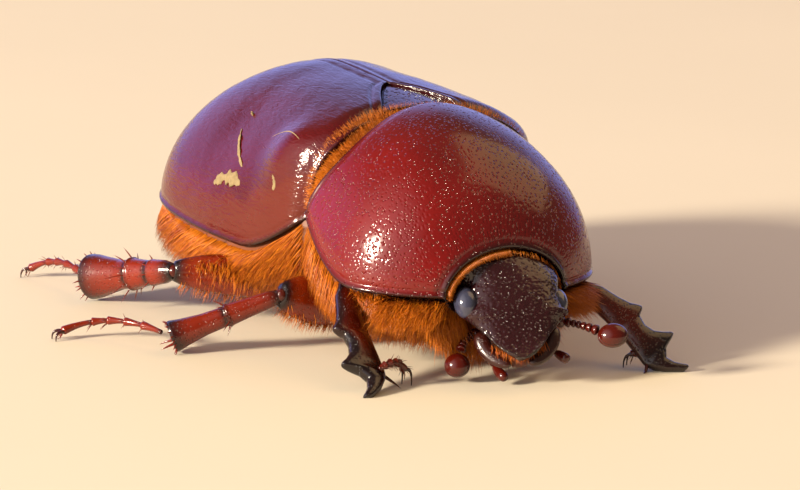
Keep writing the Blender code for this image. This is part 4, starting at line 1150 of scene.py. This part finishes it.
def build_coat(sizes, colours):
    """Laid hair on the sides and belly, longest below the shells' margins."""
    look = hair_look("golden laid hair", colours)
    count = sizes.coat_count
    for side, sign in SIDES:
        for part, (low, high) in COAT_PARTS.items():
            rng = np.random.default_rng(60 + sign + len(part) * 7 + int(low))
            piece = Piece()
            add_body_hair(piece, rng, sizes, sign, low, high, count)
            if part == "belly":
                add_body_hair(piece, rng, sizes, sign, 11.6, 12.7, count // 6, towards_side=1.0)
                add_tail_hair(piece, rng, sizes, sign, count // 8)
            else:
                add_collar_hair(piece, rng, sizes, sign, count // 5)
                add_shoulder_tuft(piece, rng, sizes, sign, count // 8)
            piece.build(f"coat_{part}_{side}", look, "hairy_underside")


def on_side(share, sign):
    """Shares from the left ledge, turned to the right ledge for the right side."""
    return share if sign > 0 else 1 - share


def add_body_hair(piece, rng, sizes, sign, low, high, count, towards_side=1.5):
    """Hair laid down and back along the belly's side, steeper on the chest."""
    share = on_side(0.5 * rng.uniform(0, 1, count) ** towards_side, sign)
    y = rng.uniform(low, high, count)
    roots, normals = skin_frame(share, y)
    height = clamp(1 - 2 * np.minimum(share, 1 - share))
    front = clamp((-0.5 - y) / 1.5)[:, None]
    rear_lay = np.array([0.0, 0.75, -0.62]) + rng.normal(0, 0.10, (count, 3))
    front_lay = np.array([0.25 * sign, -0.15, -0.8]) + rng.normal(0, 0.14, (count, 3))
    lay = rear_lay * (1 - front) + front_lay * front
    lay = unit(lay - normals * (lay * normals).sum(-1, keepdims=True))
    over_thigh = 0.55 * height * bell(y - 5.0, 3.2)
    directions = lay + normals * (0.24 + 0.25 * front + 0.3 * over_thigh[:, None])
    lengths = sizes.coat_length / MM * rng.uniform(0.6, 1.1, count) * (0.55 + 0.45 * height + over_thigh)
    add_hairs(piece, rng, sizes, roots, directions, [0, 0, -0.12] - normals * 0.10,
              joined(share, (y - PROSTERNUM_FRONT_Y) / 20), lengths)


def add_tail_hair(piece, rng, sizes, sign, count):
    """Hair that hangs over the tail's blunt end from below the tips of the wing cases."""
    share = on_side(0.5 * rng.uniform(0, 1, count), sign)
    y = np.full(count, TRUNK_END_Y - 0.04)
    up = rng.uniform(0, 0.42, (count, 1))
    roots = underside_point(share, y) * (1 - up) + upper_trunk_point(1 - share, y) * up
    directions = np.array([0.0, 1.0, -0.25]) + rng.normal(0, 0.15, (count, 3))
    add_hairs(piece, rng, sizes, roots, directions, [0, 0, -0.35],
              joined(share, (y - PROSTERNUM_FRONT_Y) / 20 + 0.03 * up[:, 0]),
              0.75 * sizes.coat_length / MM * rng.uniform(0.6, 1.0, count))


def add_collar_hair(piece, rng, sizes, sign, count):
    """Hair on the front face of the chest, round the neck."""
    share = on_side(rng.uniform(0, 0.5, count), sign)
    centre = np.array([0.0, PROSTERNUM_FRONT_Y, 3.4])
    outward = underside_point(share, PROSTERNUM_FRONT_Y) - centre
    roots = centre + outward * rng.uniform(0.55, 1.0, count)[:, None]
    directions = np.array([0.35 * sign, -0.75, -0.55]) + rng.normal(0, 0.18, (count, 3))
    add_hairs(piece, rng, sizes, roots, directions, [0, -0.05, -0.25],
              joined(share, rng.uniform(-0.03, 0, count)),
              sizes.coat_length / MM * rng.uniform(0.6, 1.0, count), tones=(0.1, 1.0))


def add_shoulder_tuft(piece, rng, sizes, sign, count):
    """Long hair that stands out below the pronotum's front corners."""
    v = rng.uniform(0.03, 0.26, count)
    inward = joined(-sign * rng.uniform(0.3, 0.8, count), 0, -rng.uniform(0.15, 0.9, count))
    directions = np.array([0.75 * sign, -0.45, -0.30]) + rng.normal(0, 0.2, (count, 3))
    add_hairs(piece, rng, sizes, pronotum_point(sign, v) + inward, directions, [0, 0, -0.2],
              joined(on_side(0.02, sign), 0.05 + 0.2 * v),
              0.85 * sizes.coat_length / MM * rng.uniform(0.6, 1.0, count), 0.85, (0.2, 1.0))


def build_shell_fringe(sizes, look, rng):
    """Short upright hair in the gap between the shells."""
    count = SHELL_FRINGE_COUNT
    u = rng.uniform(-0.97, 0.97, count)
    angle = u * pi / 2
    back = rng.uniform(0.0, 1.0, count) ** 0.8
    edge = pronotum_point(u, 1.0)
    base = elytra_point(np.abs(angle), 0.012) * joined(np.sign(u), 1, 1)
    outward = joined(np.sin(angle), 0, np.cos(angle))
    roots = edge + (base - edge) * back[:, None] - outward * 0.6
    directions = outward + [0, 0.25, 0] + rng.normal(0, 0.12, (count, 3))
    lengths = sizes.fringe_length / MM * rng.uniform(0.65, 1.05, count) * (1.1 - 0.45 * u ** 2)
    piece = Piece()
    add_hairs(piece, rng, sizes, roots, directions, [0, 0.12, 0],
              joined(0.5 + 0.49 * u, 0.28 + 0.02 * back), lengths, 0.8, (0.3, 1.0))
    piece.build("fringe_between_shells", look, "hairy_underside")


def build_neck_fringe(sizes, look, rng):
    """Short hair that lies forward from under the pronotum's front edge, thin on the left."""
    u = rng.uniform(-1, 1, NECK_FRINGE_COUNT)
    u = u[rng.uniform(0, 1, len(u)) < np.where(u < 0.05, 1.0, 0.12)]
    count = len(u)
    edge = pronotum_point(u, 0.0)
    outward = unit(edge - [0, PRONOTUM_FRONT_Y, MARGIN_Z - 0.6])
    roots = edge - outward * rng.uniform(0.05, 0.16, count)[:, None] + [0, 0.12, 0]
    directions = [0, -1.0, -0.3] - outward * 0.25 + rng.normal(0, 0.12, (count, 3))
    piece = Piece()
    add_hairs(piece, rng, sizes, roots, directions, -outward * 0.3, joined(0.5 + 0.49 * u, 0.02),
              0.27 * rng.uniform(0.7, 1.1, count), 0.8, (0.5, 1.0))
    piece.build("fringe_behind_head", look, "hairy_underside")


def build_fringes(sizes, colours):
    """Short hair in the gap between the shells and behind the head."""
    look = hair_look("golden fringe hair", colours)
    rng = np.random.default_rng(77)
    build_shell_fringe(sizes, look, rng)
    build_neck_fringe(sizes, look, rng)


def thigh_surface(thigh, pair, share, angle):
    """From a thigh's axis out to its surface, at shares of its length and angles round it."""
    swelling = np.interp(share, *np.array(FEMUR_SWELL).T) / 2
    across = joined(np.cos(angle) * pair.breadth, np.sin(angle) * pair.thickness, 0)
    return across * swelling[:, None] @ thigh.axes


def add_thigh_fringe(piece, rng, sizes, thigh, pair, count, middle, hair_length):
    """A thin fringe along the side of a thigh at the angle `middle`."""
    share = rng.uniform(0.2, 0.95, count)
    angle = rng.normal(middle, 0.5, count)
    roots = thigh.place(0, 0, share) + 0.97 * thigh_surface(thigh, pair, share, angle)
    directions = joined(np.cos(angle), np.sin(angle), 0.5) @ thigh.axes
    add_hairs(piece, rng, sizes, roots, directions + rng.normal(0, 0.15, (count, 3)), [0, 0, -0.2],
              joined(share, (angle / pi) % 1.0), hair_length * rng.uniform(0.5, 1.1, count), 0.7)


def add_thigh_cape(piece, rng, sizes, thigh, pair, count):
    """Hair that hangs from a thigh's upper edge, longer towards the hip."""
    share = rng.uniform(0.15, 0.93, count)
    angle = rng.normal(0.0, 0.55, count)
    across = thigh_surface(thigh, pair, share, angle)
    hanging = np.array([0.25 * np.sign(thigh.start[0]), 0.0, -0.75])
    directions = unit(across) * 0.55 + hanging + rng.normal(0, 0.12, (count, 3))
    lengths = np.clip(3.2 * (0.95 - share), 0.15, 1.45) * rng.uniform(0.75, 1.05, count)
    add_hairs(piece, rng, sizes, thigh.place(0, 0, share) + 0.95 * across, directions, [0, 0, -0.25],
              joined(share, (angle / pi) % 1.0), lengths, 0.9)


def build_lip_hair(sizes, look, rng):
    """Bristles round the mouth."""
    count = LIP_HAIR_COUNT
    x = rng.uniform(-1.1, 1.1, count)
    roots = joined(x, -3.75 + 0.35 * x ** 2 + rng.uniform(-0.15, 0.1, count),
                   rng.uniform(-0.75, -0.35, count))
    directions = joined(0.25 * x, -1.0, -0.35) + rng.normal(0, 0.16, (count, 3))
    piece = Piece()
    add_hairs(piece, rng, sizes, head_place(roots), directions @ HEAD_TURN.T, [0, 0, 0],
              joined(0.5 + 0.4 * x, rng.uniform(0.4, 0.6, count)),
              0.45 * rng.uniform(0.5, 1.1, count), 0.7, (0.0, 0.5))
    piece.build("lip_hair", look, "mouth_brown")


def build_leg_hair(sizes, colours):
    """Thin fringes on the thighs, longest on the front pair, and bristles round the mouth."""
    look = hair_look("leg hair", colours)
    rng = np.random.default_rng(90)
    for name, leg in LEGS.items():
        key = name.split("_")[0]
        pair = PAIRS[key]
        thigh = Segment(leg.hip, leg.knee, pair.broad)
        piece = Piece()
        add_thigh_fringe(piece, rng, sizes, thigh, pair, *THIGH_FRINGES[key])
        if key == "hind":
            add_thigh_cape(piece, rng, sizes, thigh, pair, sizes.coat_count // 5)
        piece.build(f"thigh_hair_{name}", look, "abdomen_hair")
    build_lip_hair(sizes, look, rng)


# ---------------------------------------------------------------- stage

def area_light(name, direction, distance, size, power, tint):
    """A square soft light that faces the beetle."""
    data = bpy.data.lights.new(name, 'AREA')
    data.shape = 'SQUARE'
    data.size = size
    data.energy = power
    data.color = linear(tint)
    light = bpy.data.objects.new(name, data)
    direction = Vector(direction).normalized()
    light.location = Vector((ORIGIN + CAMERA_TARGET) * MM) + direction * distance
    light.rotation_euler = direction.to_track_quat('Z', 'Y').to_euler()
    bpy.context.scene.collection.objects.link(light)


def lobe(tree, direction, towards, start, full):
    """How far a direction of view lies inside a soft round patch of the surround."""
    dot = add_node(tree, 'VectorMath', {0: direction, 1: Vector(towards).normalized()}, "Value",
                   operation='DOT_PRODUCT')
    return ramp(tree, dot, start, full, interpolation_type='SMOOTHSTEP')


def build_world():
    """Dim warm surround with a cool band low behind the beetle and a pale glow round the key light."""
    world = bpy.data.worlds.new("studio surround")
    world.use_nodes = True
    bpy.context.scene.world = world
    tree = world.node_tree
    direction = add_node(tree, 'TexCoord', {}, "Generated")
    height = add_node(tree, 'SeparateXYZ', {0: direction}, "Z")
    low = ramp(tree, height, 0.70, 0.30, interpolation_type='SMOOTHSTEP')
    band = add_node(tree, 'Math', {0: lobe(tree, direction, COOL_DIRECTION, 0.34, 0.76), 1: low},
                    operation='MULTIPLY')
    glow = lobe(tree, direction, KEY_DIRECTION, 0.52, 0.98)
    shade = blend(tree, glow, blend(tree, band, SURROUND_WARM, SURROUND_COOL), SURROUND_GLOW)
    set_inputs(tree.nodes["Background"], {"Color": shade})


def build_camera():
    """A long lens, low in front of the beetle and to its right."""
    data = bpy.data.cameras.new("camera")
    data.lens = CAMERA_LENS
    data.clip_start = 0.01
    camera = bpy.data.objects.new("camera", data)
    camera.matrix_world = (Matrix.Translation((ORIGIN + CAMERA_TARGET) * MM)
                           @ Matrix.Rotation(CAMERA_AZIMUTH, 4, 'Z')
                           @ Matrix.Rotation(pi / 2 - CAMERA_RISE, 4, 'X')
                           @ Matrix.Rotation(CAMERA_ROLL, 4, 'Z')
                           @ Matrix.Translation((0, 0, CAMERA_DISTANCE * MM)))
    bpy.context.scene.collection.objects.link(camera)
    bpy.context.scene.camera = camera
    bpy.context.scene.view_settings.view_transform = 'Standard'


def build_stage(sizes, colours):
    """Floor, surround, lights and camera."""
    mesh = bpy.data.meshes.new("floor")
    corners = [(x * FLOOR_HALF, y * FLOOR_HALF, 0) for x, y in ((-1, -1), (1, -1), (1, 1), (-1, 1))]
    mesh.from_pydata(corners, [], [(0, 1, 2, 3)])
    mesh.materials.append(floor_look("limewashed board", colours.floor))
    floor = bpy.data.objects.new("floor", mesh)
    bpy.context.scene.collection.objects.link(floor)
    build_world()
    for name, settings in LIGHTS.items():
        area_light(name, *settings)
    build_camera()


# ---------------------------------------------------------------- operators and panel

class BeetleStep:
    """Shared by the operators: each builds one group of pieces from the scene's settings."""
    bl_options = {'REGISTER', 'UNDO'}

    def run(self, context, *builders):
        for build in builders:
            build(context.scene.beetle_sizes, context.scene.beetle_colours)
        return {'FINISHED'}


class BEETLE_OT_stage(BeetleStep, Operator):
    """Build the floor, lights and camera"""
    bl_idname = "beetle.stage"
    bl_label = "Stage"

    def execute(self, context):
        return self.run(context, build_stage)


class BEETLE_OT_pronotum(BeetleStep, Operator):
    """Build the domed shield behind the head"""
    bl_idname = "beetle.pronotum"
    bl_label = "Pronotum"

    def execute(self, context):
        return self.run(context, build_pronotum)


class BEETLE_OT_wing_cases(BeetleStep, Operator):
    """Build both wing cases"""
    bl_idname = "beetle.wing_cases"
    bl_label = "Wing Cases"

    def execute(self, context):
        return self.run(context, build_wing_cases)


class BEETLE_OT_soil(BeetleStep, Operator):
    """Stick a few flakes of dried soil to the right wing case"""
    bl_idname = "beetle.soil"
    bl_label = "Dried Soil"

    def execute(self, context):
        return self.run(context, build_soil)


class BEETLE_OT_scutellum(BeetleStep, Operator):
    """Build the small plate between the wing cases"""
    bl_idname = "beetle.scutellum"
    bl_label = "Scutellum"

    def execute(self, context):
        return self.run(context, build_scutellum)


class BEETLE_OT_underside(BeetleStep, Operator):
    """Build the skin of the trunk"""
    bl_idname = "beetle.underside"
    bl_label = "Underside"

    def execute(self, context):
        return self.run(context, build_underside)


class BEETLE_OT_head(BeetleStep, Operator):
    """Build the head capsule and its eyes"""
    bl_idname = "beetle.head"
    bl_label = "Head and Eyes"

    def execute(self, context):
        return self.run(context, build_head, build_eyes)


class BEETLE_OT_mouth(BeetleStep, Operator):
    """Build the jaws, lip block and palps"""
    bl_idname = "beetle.mouth"
    bl_label = "Mouth"

    def execute(self, context):
        return self.run(context, build_mouth)


class BEETLE_OT_antennae(BeetleStep, Operator):
    """Build the beaded antennae and their clubs"""
    bl_idname = "beetle.antennae"
    bl_label = "Antennae"

    def execute(self, context):
        return self.run(context, build_antennae)


class BEETLE_OT_legs(BeetleStep, Operator):
    """Build the six legs"""
    bl_idname = "beetle.legs"
    bl_label = "Legs"

    def execute(self, context):
        return self.run(context, build_legs)


class BEETLE_OT_coat(BeetleStep, Operator):
    """Build the laid hair of the sides and belly"""
    bl_idname = "beetle.coat"
    bl_label = "Coat"

    def execute(self, context):
        return self.run(context, build_coat)


class BEETLE_OT_fringes(BeetleStep, Operator):
    """Build the fringes between the shells, on the legs and round the mouth"""
    bl_idname = "beetle.fringes"
    bl_label = "Fringes"

    def execute(self, context):
        return self.run(context, build_fringes, build_leg_hair)


STEPS = (BEETLE_OT_stage, BEETLE_OT_pronotum, BEETLE_OT_wing_cases, BEETLE_OT_soil,
         BEETLE_OT_scutellum, BEETLE_OT_underside, BEETLE_OT_head, BEETLE_OT_mouth,
         BEETLE_OT_antennae, BEETLE_OT_legs, BEETLE_OT_coat, BEETLE_OT_fringes)


class VIEW3D_PT_beetle(Panel):
    """Steps and settings of the beetle"""
    bl_idname = "VIEW3D_PT_beetle"
    bl_label = "Rhinoceros Beetle"
    bl_space_type = 'VIEW_3D'
    bl_region_type = 'UI'
    bl_category = "Beetle"

    def draw(self, context):
        for step in STEPS:
            self.layout.operator(step.bl_idname)
        for group in (context.scene.beetle_sizes, context.scene.beetle_colours):
            for key in group.__annotations__:
                self.layout.prop(group, key)


CLASSES = (BeetleSizes, BeetleColours, *STEPS, VIEW3D_PT_beetle)


def register():
    for item in CLASSES:
        bpy.utils.register_class(item)
    bpy.types.Scene.beetle_sizes = PointerProperty(type=BeetleSizes)
    bpy.types.Scene.beetle_colours = PointerProperty(type=BeetleColours)


def unregister():
    del bpy.types.Scene.beetle_colours
    del bpy.types.Scene.beetle_sizes
    for item in reversed(CLASSES):
        bpy.utils.unregister_class(item)


def main():
    register()
    for step in STEPS:
        group, name = step.bl_idname.split(".")
        getattr(getattr(bpy.ops, group), name)()


if __name__ == "__main__":
    main()
